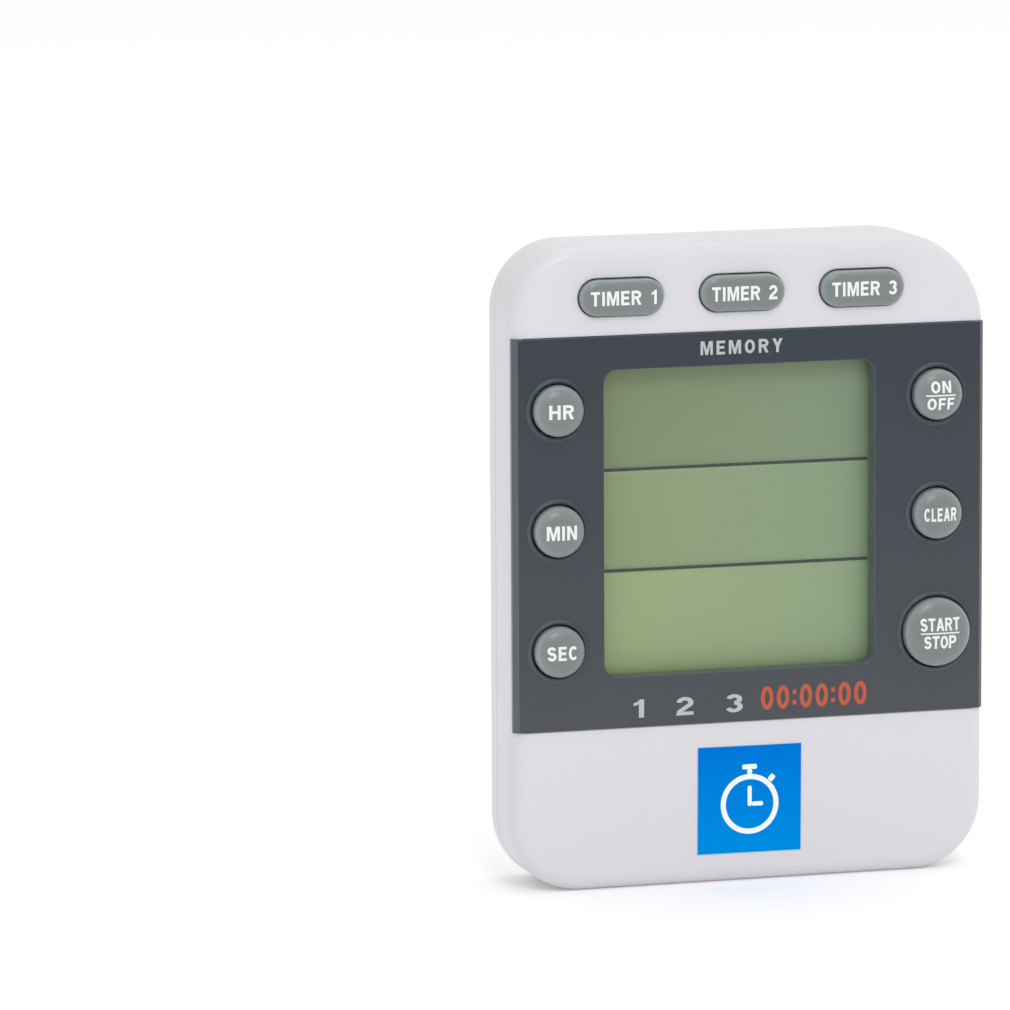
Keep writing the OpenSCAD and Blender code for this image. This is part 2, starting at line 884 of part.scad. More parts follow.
// An AAA cell whose positive end faces along side, 1 for +X and -1 for -X
module cell(side, z) {
    body_end_x = cell_end_x - nub_l;
    mirror([side > 0 ? 0 : 1, 0, 0]) {
        rod_x(cell_d, cell_end_x - cell_l, body_end_x, cell_y, z);
        rod_x(nub_d, body_end_x - 0.1, cell_end_x, cell_y, z);
    }
}

module battery_upper() {
    color("#2b2d31")
        cell(1, cell_upper_z);
}

module battery_lower() {
    color("#2b2d31")
        cell(-1, cell_lower_z);
}

// A cone-shaped coil spring on a plate at x, reaching inwards to the flat end of a cell
module cell_spring(side, z) {
    base_x = tray_x - plate_t;
    tip_x = cell_l - cell_end_x + spring_wire / 2 + clear / 2;
    steps = 16 * spring_turns;
    route = [
        for (i = [0 : steps])
            let (
                f = i / steps,
                a = 360 * spring_turns * f,
                r = spring_base_r + (spring_tip_r - spring_base_r) * f
            )
            [
                side * (base_x + (tip_x - base_x) * f),
                cell_y + r * cos(a),
                z + side * r * sin(a),
            ],
    ];
    sweep(route, spring_wire, 6, [1, 0, 0]);
}

// A flat contact plate against the tray's end wall
module contact_plate(side, z0, z1) {
    x0 = side > 0 ? tray_x - plate_t : -tray_x;
    block([x0, cell_y - plate_w / 2, z0], [x0 + plate_t, cell_y + plate_w / 2, z1]);
}

// A solder tab that passes out through the tray's end wall
module solder_tab(y, z) {
    block([tray_x - plate_t, y - tab_w / 2, z - tab_t / 2], [tab_end_x, y + tab_w / 2, z + tab_t / 2]);
}

module contact_positive() {
    color(STEEL) {
        contact_plate(1, cell_upper_z - plate_w / 2, cell_upper_z + plate_w / 2);
        solder_tab(-tab_y, tab_upper_z);
    }
}

module contact_negative() {
    color(STEEL) {
        contact_plate(1, cell_lower_z - plate_w / 2, cell_lower_z + plate_w / 2);
        solder_tab(tab_y, tab_lower_z);
        cell_spring(1, cell_lower_z);
    }
}

// Joins the flat end of the upper cell to the positive end of the lower one
module contact_bridge() {
    color(STEEL) {
        contact_plate(-1, cell_lower_z - plate_w / 2, cell_upper_z + plate_w / 2);
        cell_spring(-1, cell_upper_z);
    }
}

module battery_wires() {
    color("#b02020")
        for (route = POWER_WIRES)
            sweep(cut_corners(route), POWER_WIRE_D, 8, [1, 0, 0]);
}

// ---- Assembly ----

front_shell();
face_panel();
display_window();
rear_shell();
battery_door();
stand_leg();
front_label();
case_screws();
magnets();
volume_slider();
volume_switch();
for (k = ROUND_KEYS)
    round_key(k[1], k[2], k[3]);
for (k = PILL_KEYS)
    pill_key(k[1]);
rubber_keypad();
main_board();
controller_blob();
crystal();
filter_capacitor();
chip_parts();
board_screws();
lcd_frame();
lcd_polarizer();
lcd_front_glass();
lcd_rear_glass();
lcd_reflector();
zebra_strip(1);  // zebra_strip_upper
zebra_strip(-1);  // zebra_strip_lower
sounder_disc();
sounder_ceramic();
sounder_wires();
battery_upper();
battery_lower();
contact_positive();
contact_negative();
contact_bridge();
battery_wires();
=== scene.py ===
"""The looks of the lab timer: moulded shells, soft keys, a printed panel, the display and a plain studio.

Sizes are in millimetres and angles in degrees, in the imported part's frame: the front faces -Y, +X is to the
right and +Z is up. mesh_object() is where millimetres become Blender's metres.
"""

import math

import bmesh
import bpy
from mathutils import Matrix, Vector


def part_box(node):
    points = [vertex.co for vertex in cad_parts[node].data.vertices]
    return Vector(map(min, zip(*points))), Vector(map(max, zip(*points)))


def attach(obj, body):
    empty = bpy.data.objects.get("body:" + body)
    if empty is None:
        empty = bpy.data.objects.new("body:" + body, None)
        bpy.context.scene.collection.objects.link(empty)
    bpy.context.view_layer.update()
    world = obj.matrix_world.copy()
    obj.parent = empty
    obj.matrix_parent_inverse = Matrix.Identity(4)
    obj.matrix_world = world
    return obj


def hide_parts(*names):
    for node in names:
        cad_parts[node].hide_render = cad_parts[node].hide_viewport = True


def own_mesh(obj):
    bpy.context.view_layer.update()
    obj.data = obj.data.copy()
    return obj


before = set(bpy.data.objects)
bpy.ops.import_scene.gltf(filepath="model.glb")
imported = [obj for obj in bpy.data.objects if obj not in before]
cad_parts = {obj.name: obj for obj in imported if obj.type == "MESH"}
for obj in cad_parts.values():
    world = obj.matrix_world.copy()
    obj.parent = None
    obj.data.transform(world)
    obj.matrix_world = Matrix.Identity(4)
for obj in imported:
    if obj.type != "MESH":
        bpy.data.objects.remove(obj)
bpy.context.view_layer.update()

MM = 0.001


def box_mm(node):
    """The lowest and highest corners of a CAD node, in millimetres."""
    low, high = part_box(node)
    return low / MM, high / MM


# ---- Sizes ----

FRONT_LOW, FRONT_HIGH = box_mm("front_shell")
REAR_HIGH = box_mm("rear_shell")[1]
PANEL_LOW, PANEL_HIGH = box_mm("face_panel")
WINDOW_LOW, WINDOW_HIGH = box_mm("display_window")
SCREEN_LOW, SCREEN_HIGH = box_mm("lcd_polarizer")
LABEL_LOW, LABEL_HIGH = box_mm("front_label")

CASE_W = FRONT_HIGH.x - FRONT_LOW.x
CASE_H = FRONT_HIGH.z
FRONT_Y = FRONT_LOW.y
SPLIT_Y = FRONT_HIGH.y
REAR_Y = REAR_HIGH.y
# The radius of each corner of the case: top right, top left, bottom left and bottom right
CORNER_RS = (13.4, 10, 10, 10)
FRONT_EDGE_R = 2.2
REAR_SIDE_R = 6
REAR_END_R = 4
WALL = 1.6
FRONT_INNER_Y = FRONT_Y + 2.6
REAR_INNER_Y = REAR_Y - WALL
SEAM_DEPTH = 0.18
SEAM_WIDTH = 0.22

COLLAR_H = 0.5
COLLAR_W = 0.6
COLLAR_R = 0.4
COLLAR_FOOT = 0.2
PANEL_FRONT_Y = PANEL_LOW.y + COLLAR_H
PANEL_T = 1.5
PANEL_BACK_Y = PANEL_FRONT_Y + PANEL_T
PANEL_BEVEL = 0.7
PANEL_BEVEL_DEPTH = 0.84
PANEL_EDGE_R = 0.15
PANEL_GAP = 0.04
WINDOW_W = WINDOW_HIGH.x - WINDOW_LOW.x
WINDOW_H = WINDOW_HIGH.z - WINDOW_LOW.z
WINDOW_RIM = 1.5
WINDOW_GAP = 0.1
APERTURE_W = WINDOW_W - 2 * WINDOW_RIM
APERTURE_H = WINDOW_H - 2 * WINDOW_RIM
APERTURE_R = 2
APERTURE_DRAFT = 0.1
APERTURE = ((WINDOW_LOW + WINDOW_HIGH) / 2).xz
DIVIDERS = (59.3, 45.0)
DIVIDER_T = 0.46
DIVIDER_INSET = 0.3

KEY_GAP = 0.25
PILL_GAP = 0.15
MOUTH_R = 0.2
SMALL_KEY_D = 7.2
START_KEY_D = 9.8
PILL_W = 12.2
PILL_H = 5.1
ROUND_CROWN = 1.6
ROUND_POWER = 2.3
PILL_CROWN = 1.1
PILL_POWER = 3
# The share of a timer key's half height that is left flat along the middle of its crown
PILL_RIDGE = 0.02
RIM = 0.4
RIM_T = 0.8
FLANGE_Y = FRONT_INNER_Y + 0.1
PLUNGER_D = 4

KEYPAD_T = 0.8
KEYPAD_COLUMN = (8.4, 44)
KEYPAD_ROW = (51.4, 8.1)
KEYPAD_LINK_W = 1.7
KEYPAD_CORNER_R = 0.5
KEYPAD_HOLE_D = 4.6
# The board's screws: places across the columns, reach from a column's middle, and places along the row
COLUMN_SCREW_XS = (-28.45, 27.45)
COLUMN_SCREW_REACH = 8.5
ROW_SCREW_XS = (-10.15, 7.55)
DOME_D = 5
DOME_FOOT = 0.2
DOME_EDGE_R = 0.5

ROUND_KEYS = {
    "hr": SMALL_KEY_D,
    "min": SMALL_KEY_D,
    "sec": SMALL_KEY_D,
    "on_off": SMALL_KEY_D,
    "clear": SMALL_KEY_D,
    "start_stop": START_KEY_D,
}
PILL_KEYS = ("timer_1", "timer_2", "timer_3")

CORNER_STEPS = 16
LATHE_STEPS = 96
TURNS = [2 * math.pi * i / LATHE_STEPS for i in range(LATHE_STEPS)]
ARC_STEPS = 12
# How far a cutter reaches past what it cuts, and a fused piece into its neighbour
BEYOND = 1
OVERLAP = 0.5
# Points closer than this are one point
MERGE_GAP = 0.0005
SHARP_ANGLE = 32
PRINT_T = 0.03


# ---- Mesh helpers ----


def mesh_object(name, points, faces):
    """A mesh from points in millimetres, with its doubled points merged and its faces turned outwards."""
    mesh = bpy.data.meshes.new(name)
    mesh.from_pydata([Vector(p) * MM for p in points], [], faces)
    work = bmesh.new()
    work.from_mesh(mesh)
    bmesh.ops.remove_doubles(work, verts=work.verts, dist=MERGE_GAP * MM)
    bmesh.ops.recalc_face_normals(work, faces=work.faces)
    work.to_mesh(mesh)
    work.free()
    made = bpy.data.objects.new(name, mesh)
    bpy.context.scene.collection.objects.link(made)
    return made


def skin(rings, closed):
    """The faces that join each ring of points to the next, and the last to the first if closed."""
    count = len(rings[0])
    steps = len(rings) if closed else len(rings) - 1
    faces = []
    for step in range(steps):
        here = step * count
        there = (step + 1) % len(rings) * count
        for i in range(count):
            j = (i + 1) % count
            faces.append((here + i, here + j, there + j, there + i))
    return faces


def loft(name, rings, closed=False):
    """A solid through rings of points, capped at both ends unless it closes on itself."""
    points = [p for loop in rings for p in loop]
    faces = skin(rings, closed)
    if not closed:
        count = len(rings[0])
        faces.append(tuple(range(count)))
        faces.append(tuple(range(len(points) - count, len(points))))
    return mesh_object(name, points, faces)


def lathe(name, profile, centre, closed=False):
    """A solid turned round an axis along Y: profile is a list of (radius, y) and centre its (x, z)."""
    x, z = centre
    rings = [[(x + r * math.cos(a), y, z + r * math.sin(a)) for a in TURNS] for r, y in profile]
    return loft(name, rings, closed)


def outline(w, h, corner_r):
    """A rounded rectangle as (x, z) points round the origin, with one radius or a radius for each corner."""
    radii = corner_r if isinstance(corner_r, tuple) else (corner_r,) * 4
    points = []
    for quarter, (sx, sz) in enumerate([(1, 1), (-1, 1), (-1, -1), (1, -1)]):
        r = radii[quarter]
        for i in range(CORNER_STEPS + 1):
            a = math.radians(90 * (quarter + i / CORNER_STEPS))
            points.append((sx * (w / 2 - r) + r * math.cos(a), sz * (h / 2 - r) + r * math.sin(a)))
    return points


def ring(shape, centre, y):
    """An outline as points in space, round centre and at depth y."""
    return [(centre[0] + x, y, centre[1] + z) for x, z in shape]


def quarter_round(r):
    """Pairs (across, deep) along a quarter round, from (r, 0) on the face to (0, r) on the side."""
    angles = [math.radians(90 * i / ARC_STEPS) for i in range(ARC_STEPS + 1)]
    return [(r * (1 - math.sin(a)), r * (1 - math.cos(a))) for a in angles]


def block(name, low, high):
    """A box between two corners, for cutting and for fusing."""
    rings = [
        [(low[0], y, low[2]), (high[0], y, low[2]), (high[0], y, high[2]), (low[0], y, high[2])]
        for y in (low[1], high[1])
    ]
    return loft(name, rings)


def apply_modifiers(target):
    """Bakes the object's modifiers into its mesh."""
    evaluated = target.evaluated_get(bpy.context.evaluated_depsgraph_get())
    baked = bpy.data.meshes.new_from_object(evaluated)
    target.modifiers.clear()
    target.data = baked


def combine(target, operation, tools):
    """Cuts the tools out of target, or fuses them to it, and removes them."""
    for tool in tools:
        modifier = target.modifiers.new(operation, "BOOLEAN")
        modifier.operation = operation
        modifier.object = tool
        modifier.solver = "EXACT"
    apply_modifiers(target)
    for tool in tools:
        bpy.data.objects.remove(tool)
    return target


def cut(target, *tools):
    """Cuts the tools out of target."""
    return combine(target, "DIFFERENCE", tools)


def fuse(target, *tools):
    """Joins the tools to target as one solid."""
    return combine(target, "UNION", tools)


def smooth(target):
    """Smooth shading that keeps sharp edges crisp and flat faces flat."""
    target.data.shade_smooth()
    target.data.set_sharp_from_angle(angle=math.radians(SHARP_ANGLE))
    normals = target.modifiers.new("face_weighted_normals", "WEIGHTED_NORMAL")
    normals.keep_sharp = True


def finish_piece(piece, body, material):
    """Gives a piece its material and its body."""
    piece.data.materials.clear()
    piece.data.materials.append(material)
    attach(piece, body)
    return piece


# ---- Material helpers ----

# The range in which most of a noise's values lie
NOISE_SPAN = (0.3, 0.7)
NOISE_DETAIL = 4
BUMP_STRENGTH = 0.4


def srgb(red, green, blue):
    """A display colour, 0 to 255, as the linear colour that a shader takes."""
    channels = [c / 255 for c in (red, green, blue)]
    linear = [c / 12.92 if c <= 0.04045 else ((c + 0.055) / 1.055) ** 2.4 for c in channels]
    return (*linear, 1)


def node_set(owner, shader="Principled BSDF"):
    """Shorthands for making and linking the nodes of a material or a world, and its shader."""
    tree = owner.node_tree

    def add(kind, **inputs):
        made = tree.nodes.new(kind)
        for name, value in inputs.items():
            made.inputs[name.replace("_", " ")].default_value = value
        return made

    return add, tree.links.new, tree.nodes[shader]


def speckle(add, link, size):
    """Noise whose features are about size millimetres across, fixed to the object."""
    place = add("ShaderNodeTexCoord")
    noise = add("ShaderNodeTexNoise", Scale=1 / (size * MM), Detail=NOISE_DETAIL)
    link(place.outputs["Object"], noise.inputs["Vector"])
    return noise.outputs["Fac"]


def axis(add, link, space, letter):
    """One coordinate of the object's own space, of its surface's normal, or of a direction."""
    place = add("ShaderNodeTexCoord")
    axes = add("ShaderNodeSeparateXYZ")
    link(place.outputs[space], axes.inputs["Vector"])
    return axes.outputs[letter]


def remap(add, link, value, source, target=(0, 1)):
    """A value carried from the range source onto the range target, and held at that range's ends."""
    limits = {"From_Min": source[0], "From_Max": source[1], "To_Min": target[0], "To_Max": target[1]}
    scale = add("ShaderNodeMapRange", **limits)
    link(value, scale.inputs["Value"])
    return scale.outputs["Result"]


def blend_colours(add, link, factor, first, second):
    """A colour that goes from first to second with the factor."""
    mix = add("ShaderNodeMix")
    mix.data_type = "RGBA"
    link(factor, mix.inputs["Factor"])
    # A Mix node's colour sockets share their names with its other sockets, and so go by number
    for socket, value in ((mix.inputs[6], first), (mix.inputs[7], second)):
        if isinstance(value, tuple):
            socket.default_value = value
        else:
            link(value, socket)
    return mix.outputs[2]


def surface(name, colour, deeper, roughness, grain=0.25, bump=0.02, mottle=6, metallic=0, coat=0):
    """A material whose colour drifts to deeper over mottle mm, with roughness and bump from a grain in mm."""
    material = bpy.data.materials.new(name)
    material.use_nodes = True
    add, link, shader = node_set(material)
    fine = speckle(add, link, grain)
    link(blend_colours(add, link, speckle(add, link, mottle), colour, deeper), shader.inputs["Base Color"])
    link(remap(add, link, fine, NOISE_SPAN, roughness), shader.inputs["Roughness"])
    if bump:
        relief = add("ShaderNodeBump", Strength=BUMP_STRENGTH, Distance=bump * MM)
        link(fine, relief.inputs["Height"])
        link(relief.outputs["Normal"], shader.inputs["Normal"])
    shader.inputs["Metallic"].default_value = metallic
    shader.inputs["Coat Weight"].default_value = coat
    return material


def tint(nodes, factor, colour):
    """Blends what a material's base colour has been so far towards another colour by a factor."""
    add, link, shader = nodes
    base = shader.inputs["Base Color"].links[0].from_socket
    link(blend_colours(add, link, factor, base, colour), shader.inputs["Base Color"])


def along(add, link, letter, low, high):
    """A factor that rises from 0 to 1 between two places in millimetres."""
    return remap(add, link, axis(add, link, "Object", letter), (low * MM, high * MM))


def facing(add, link, letter, start, end):
    """A factor that goes from 0 to 1 as a coordinate of the surface's normal goes from start to end."""
    return remap(add, link, axis(add, link, "Normal", letter), (start, end))


# ---- Materials ----

# Where the pale bands of the cells begin, and how soft their edges are
BAND_X = 18.4
BAND_EDGE = 0.1


def case_white():
    """Glossy white moulded plastic with a slight lavender cast."""
    return surface(
        "case_white", srgb(210, 208, 212), srgb(209, 207, 211), (0.32, 0.36), grain=2, bump=0, mottle=25
    )


def panel_grey():
    """Satin slate plastic, with painted shade that darkens it towards its top, a painted highlight where its
    edges turn, and painted shade on faces turned to the right.
    """
    material = surface(
        "panel_grey", srgb(59, 63, 68), srgb(57, 61, 66), (0.3, 0.36), grain=1.5, bump=0, mottle=9
    )
    nodes = add, link, _ = node_set(material)
    # Painted shade: darker towards the panel's top, standing in for the darker reflection there
    tint(nodes, along(add, link, "Z", PANEL_LOW.z, PANEL_HIGH.z), srgb(27, 38, 51))
    # Painted highlight: paler where a face turns away from the front, on edges, collar rims and walls
    tint(nodes, facing(add, link, "Y", -0.99, -0.5), srgb(86, 97, 100))
    # Painted shade: darker on faces that turn to the right
    tint(nodes, facing(add, link, "X", 0.2, 0.7), srgb(38, 40, 46))
    return material


def key_grey():
    """Satin grey plastic, with a painted highlight round the shoulders of the crown."""
    material = surface(
        "key_grey", srgb(113, 118, 119), srgb(110, 115, 116), (0.3, 0.38), grain=0.6, bump=0.002, coat=0.4
    )
    nodes = add, link, shader = node_set(material)
    # Painted highlight: paler where the crown turns away from the front
    tint(nodes, facing(add, link, "Y", -0.97, -0.6), srgb(138, 149, 149))
    shader.inputs["Coat Roughness"].default_value = 0.35
    return material


def ink(name, colour):
    """Screen-printed ink, thick enough to be opaque."""
    return surface(name, colour, colour, (0.45, 0.55), grain=1, bump=0)


def label_blue():
    """Blue printed film with a matt face, paler towards its lower edge."""
    material = surface("label_blue", srgb(0, 115, 207), srgb(0, 113, 205), (0.5, 0.6), grain=1, bump=0)
    nodes = add, link, shader = node_set(material)
    tint(nodes, along(add, link, "Z", LABEL_HIGH.z, LABEL_LOW.z), srgb(0, 136, 215))
    shader.inputs["Specular IOR Level"].default_value = 0
    return material


def slider_black():
    """Fine-grained black plastic."""
    return surface("slider_black", srgb(48, 50, 53), srgb(42, 44, 47), (0.4, 0.5), grain=0.12, bump=0.01)


def steel():
    """Bright nickel plate."""
    return surface(
        "steel", srgb(186, 187, 190), srgb(176, 177, 181), (0.25, 0.32), grain=0.8, bump=0.001, metallic=1
    )


def brass():
    """Bare rolled brass."""
    return surface(
        "brass", srgb(214, 178, 96), srgb(196, 156, 78), (0.25, 0.4), grain=0.2, bump=0.004, metallic=1
    )


def silicone():
    """Matt pale grey rubber."""
    return surface("silicone", srgb(190, 192, 187), srgb(180, 182, 177), (0.5, 0.62), grain=0.3, bump=0.01)


def board_green():
    """Solder mask over woven glass."""
    return surface("board_green", srgb(30, 96, 56), srgb(24, 84, 48), (0.3, 0.42), grain=0.6, bump=0.012)


def resin_black():
    """Glossy black potting resin."""
    return surface("resin_black", srgb(26, 26, 28), srgb(20, 20, 22), (0.18, 0.3), grain=1.2, bump=0.02)


def chip_tan():
    """Fired tan ceramic of the small chip parts."""
    return surface("chip_tan", srgb(176, 152, 112), srgb(160, 136, 98), (0.4, 0.55), grain=0.1, bump=0.006)


def frame_plastic():
    """Unpainted off-white plastic."""
    return surface(
        "frame_plastic", srgb(214, 214, 208), srgb(206, 206, 200), (0.4, 0.5), grain=0.2, bump=0.01
    )


def glass(name, colour, alpha):
    """A clear plate: mostly let through, with a polished face."""
    material = surface(name, colour, colour, (0.03, 0.06), grain=4, bump=0)
    material.node_tree.nodes["Principled BSDF"].inputs["Alpha"].default_value = alpha
    return material


def reflector():
    """The grey-green foil behind the display."""
    return surface("reflector", srgb(150, 160, 140), srgb(142, 154, 132), (0.3, 0.4), grain=0.2, bump=0.006)


def ceramic():
    """White piezo ceramic."""
    return surface("ceramic", srgb(226, 224, 216), srgb(214, 212, 204), (0.3, 0.42), grain=0.2, bump=0.006)


def wire_red():
    """Red wire insulation."""
    return surface("wire_red", srgb(178, 30, 32), srgb(164, 24, 26), (0.3, 0.4), grain=0.3, bump=0.006)


# The display's colours hold painted shade, darker towards its top and paler towards its bottom, and a painted
# bluer tint for its right side
SCREEN_SHADED_TOP_COLOUR = srgb(119, 132, 94)
SCREEN_MIDDLE_COLOUR = srgb(132, 148, 105)
SCREEN_BOTTOM_COLOUR = srgb(146, 162, 113)
SCREEN_PAINTED_RIGHT_TINT = srgb(119, 148, 126)
# A painted highlight, just below each divider
DIVIDER_PAINTED_HIGHLIGHT = srgb(142, 160, 118)
# Heights round a divider at which the painted highlight below it starts and is palest, and at which the
# painted shadow above it has ended
DIVIDER_BAND = (-0.7, -0.25, 0.9)


def screen_colours(ramp, low, high):
    """The display's tone, painted darker from its lower edge to its upper one, with a painted highlight just
    below each divider and a painted shadow just above it.
    """
    start, palest, end = DIVIDER_BAND

    def stop(z, colour):
        ramp.elements.new((z - low) / (high - low)).color = colour

    ramp.elements[0].color = SCREEN_BOTTOM_COLOUR
    ramp.elements[1].color = SCREEN_SHADED_TOP_COLOUR
    # For each divider: its height, the colour under it, its painted shadow, which fades upwards, and the
    # colour over it
    for z, under, band, over in (
        (DIVIDERS[1], SCREEN_BOTTOM_COLOUR, srgb(112, 127, 98), SCREEN_MIDDLE_COLOUR),
        (DIVIDERS[0], SCREEN_MIDDLE_COLOUR, srgb(100, 112, 88), SCREEN_SHADED_TOP_COLOUR),
    ):
        stop(z + start, under)
        stop(z + palest, DIVIDER_PAINTED_HIGHLIGHT)
        stop(z, band)
        stop(z + end, over)


def screen():
    """The display as seen through its polarizer: grey-green, with painted shade that darkens its top and a
    painted bluer tint towards the right.
    """
    material = surface("polarizer", SCREEN_SHADED_TOP_COLOUR, SCREEN_SHADED_TOP_COLOUR, (0.3, 0.34), grain=3, bump=0)
    add, link, shader = node_set(material)
    tone = add("ShaderNodeValToRGB")
    screen_colours(tone.color_ramp, SCREEN_LOW.z, SCREEN_HIGH.z)
    link(along(add, link, "Z", SCREEN_LOW.z, SCREEN_HIGH.z), tone.inputs["Fac"])
    link(tone.outputs["Color"], shader.inputs["Base Color"])
    # Painted tint: bluer towards the right
    half_across = along(add, link, "X", SCREEN_LOW.x, 2 * SCREEN_HIGH.x - SCREEN_LOW.x)
    tint((add, link, shader), half_across, SCREEN_PAINTED_RIGHT_TINT)
    return material


def cell_jacket():
    """A plain cell's sleeve: slate blue, with a pale band round each end."""
    material = surface("cell_jacket", srgb(62, 84, 104), srgb(56, 78, 98), (0.25, 0.35), grain=0.4, coat=0.3)
    nodes = add, link, _ = node_set(material)
    for start, end in ((-BAND_X, -BAND_X - BAND_EDGE), (BAND_X, BAND_X + BAND_EDGE)):
        tint(nodes, along(add, link, "X", start, end), srgb(176, 180, 184))
    return material


# ---- Case ----


def case_ring(side, end, y):
    """The case's outline at depth y, drawn in by side at the left and right and by end above and below."""
    radii = tuple(r - (side + end) / 2 for r in CORNER_RS)
    return ring(outline(CASE_W - 2 * side, CASE_H - 2 * end, radii), (0, CASE_H / 2), y)


def seam_rings(inner_y, side):
    """The rings from a shell's inside to its seam groove, with the shell on that side of the split."""
    return [
        case_ring(WALL, WALL, inner_y),
        case_ring(WALL, WALL, SPLIT_Y),
        case_ring(SEAM_DEPTH, SEAM_DEPTH, SPLIT_Y),
        case_ring(0, 0, SPLIT_Y + side * SEAM_WIDTH),
    ]


def drawn_in(y, r):
    """How far a rear edge of radius r has curved in at depth y."""
    past = max(0, y - (REAR_Y - r))
    return r - math.sqrt(max(0, r * r - past * past))


def opening(w, h, r, centre, face_y, end_y, draft=0):
    """A cutter for an opening with a slightly rounded mouth at face_y, narrowing by draft on each side."""
    rings = [ring(outline(w + 2 * MOUTH_R, h + 2 * MOUTH_R, r + MOUTH_R), centre, face_y - BEYOND)]
    for across, deep in quarter_round(MOUTH_R):
        rings.append(ring(outline(w + 2 * across, h + 2 * across, r + across), centre, face_y + deep))
    rings.append(ring(outline(w - 2 * draft, h - 2 * draft, r - draft), centre, end_y))
    return loft("opening", rings)


def rod(d, y0, y1, centre):
    """A plain round rod along Y, for cutting and for fusing."""
    return lathe("rod", [(d / 2, y0), (d / 2, y1)], centre)


def panel_seat():
    """A cutter for the panel's seat, open at both sides, with softened edges."""
    low = PANEL_LOW.z - PANEL_GAP
    high = PANEL_HIGH.z + PANEL_GAP
    section = [(FRONT_Y - BEYOND, low - MOUTH_R)]
    section += [(FRONT_Y + deep, low - across) for across, deep in quarter_round(MOUTH_R)]
    section += [(PANEL_BACK_Y, low), (PANEL_BACK_Y, high)]
    section += [(FRONT_Y + deep, high + across) for across, deep in reversed(quarter_round(MOUTH_R))]
    section += [(FRONT_Y - BEYOND, high + MOUTH_R)]
    return loft("panel_seat", [[(x, y, z) for y, z in section] for x in (-CASE_W, CASE_W)])


def front_shell(material):
    """The front shell, with a quarter round along its front edge and openings for the panel and the keys."""
    rings = seam_rings(FRONT_INNER_Y, -1)
    for across, deep in reversed(quarter_round(FRONT_EDGE_R)):
        rings.append(case_ring(across, across, FRONT_Y + deep))
    shell = loft("shell_front", rings)
    window = (WINDOW_W + 2 * WINDOW_GAP, WINDOW_H + 2 * WINDOW_GAP, APERTURE_R)
    tools = [panel_seat(), opening(*window, APERTURE, PANEL_BACK_Y - MOUTH_R, 0)]
    for name, d in ROUND_KEYS.items():
        tools.append(rod(d + 2 * KEY_GAP, FRONT_Y - BEYOND, FRONT_INNER_Y + BEYOND, key_place(name)))
    for name in PILL_KEYS:
        size = (PILL_W + 2 * PILL_GAP, PILL_H + 2 * PILL_GAP, PILL_H / 2 + PILL_GAP)
        tools.append(opening(*size, key_place(name), FRONT_Y, FRONT_INNER_Y + BEYOND))
    cut(shell, *tools)
    smooth(shell)
    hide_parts("front_shell")
    return finish_piece(shell, "case", material)


# ---- Face panel ----


def panel_ring(z, lowered):
    """The panel's section at height z, with its front face lowered by that much."""
    half = PANEL_HIGH.x
    front = PANEL_FRONT_Y + lowered
    shoulder = PANEL_FRONT_Y + PANEL_BEVEL_DEPTH
    return [
        (-half, PANEL_BACK_Y, z),
        (-half, shoulder, z),
        (-half + PANEL_BEVEL, front, z),
        (half - PANEL_BEVEL, front, z),
        (half, shoulder, z),
        (half, PANEL_BACK_Y, z),
    ]


def collar(d, centre):
    """A solid disc with a soft rim, which the key's opening turns into a collar."""
    outer = d / 2 + KEY_GAP + COLLAR_W
    root = PANEL_BACK_Y - PANEL_T / 4
    profile = [(0, root), (0, PANEL_LOW.y)]
    for across, deep in quarter_round(COLLAR_R):
        profile.append((outer - across, PANEL_LOW.y + deep))
    profile += [(outer + COLLAR_FOOT, PANEL_FRONT_Y), (outer + COLLAR_FOOT, root)]
    return lathe("collar", profile, centre)


def face_panel(material):
    """The dark panel, with a collar round each round key and a boss round the display opening."""
    low = PANEL_LOW.z
    high = PANEL_HIGH.z
    rings = [panel_ring(low + deep, across) for across, deep in quarter_round(PANEL_EDGE_R)]
    rings += [panel_ring(high - deep, across) for across, deep in reversed(quarter_round(PANEL_EDGE_R))]
    panel = loft("face_panel_moulding", rings)
    boss = outline(WINDOW_W, WINDOW_H, APERTURE_R)
    boss_rings = [ring(boss, APERTURE, y) for y in (PANEL_FRONT_Y + OVERLAP, PANEL_HIGH.y)]
    collars = [collar(d, key_place(name)) for name, d in ROUND_KEYS.items()]
    fuse(panel, loft("window_boss", boss_rings), *collars)
    size = (APERTURE_W, APERTURE_H, APERTURE_R)
    tools = [opening(*size, APERTURE, PANEL_FRONT_Y, PANEL_HIGH.y + BEYOND, APERTURE_DRAFT)]
    for name, d in ROUND_KEYS.items():
        bore = d + 2 * KEY_GAP
        tools.append(opening(bore, bore, bore / 2, key_place(name), PANEL_LOW.y, PANEL_BACK_Y + BEYOND))
    cut(panel, *tools)
    smooth(panel)
    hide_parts("face_panel")
    return finish_piece(panel, "case", material)


# ---- Keys ----


def key_box(name):
    """The lowest and highest corners of a key."""
    return box_mm("key_" + name)


def key_place(name):
    """The (x, z) of a key's middle."""
    low, high = key_box(name)
    return ((low + high) / 2).xz


def crown(t, rise, power):
    """How far a crowned face has fallen at a share t of the way from its middle to its edge."""
    return rise * (1 - max(0, 1 - t**power) ** (1 / power))


def crown_steps():
    """Shares of the way from a crowned face's middle to its edge, closer together near the edge."""
    return [math.sin(math.radians(90 * i / (2 * ARC_STEPS))) for i in range(2 * ARC_STEPS + 1)]


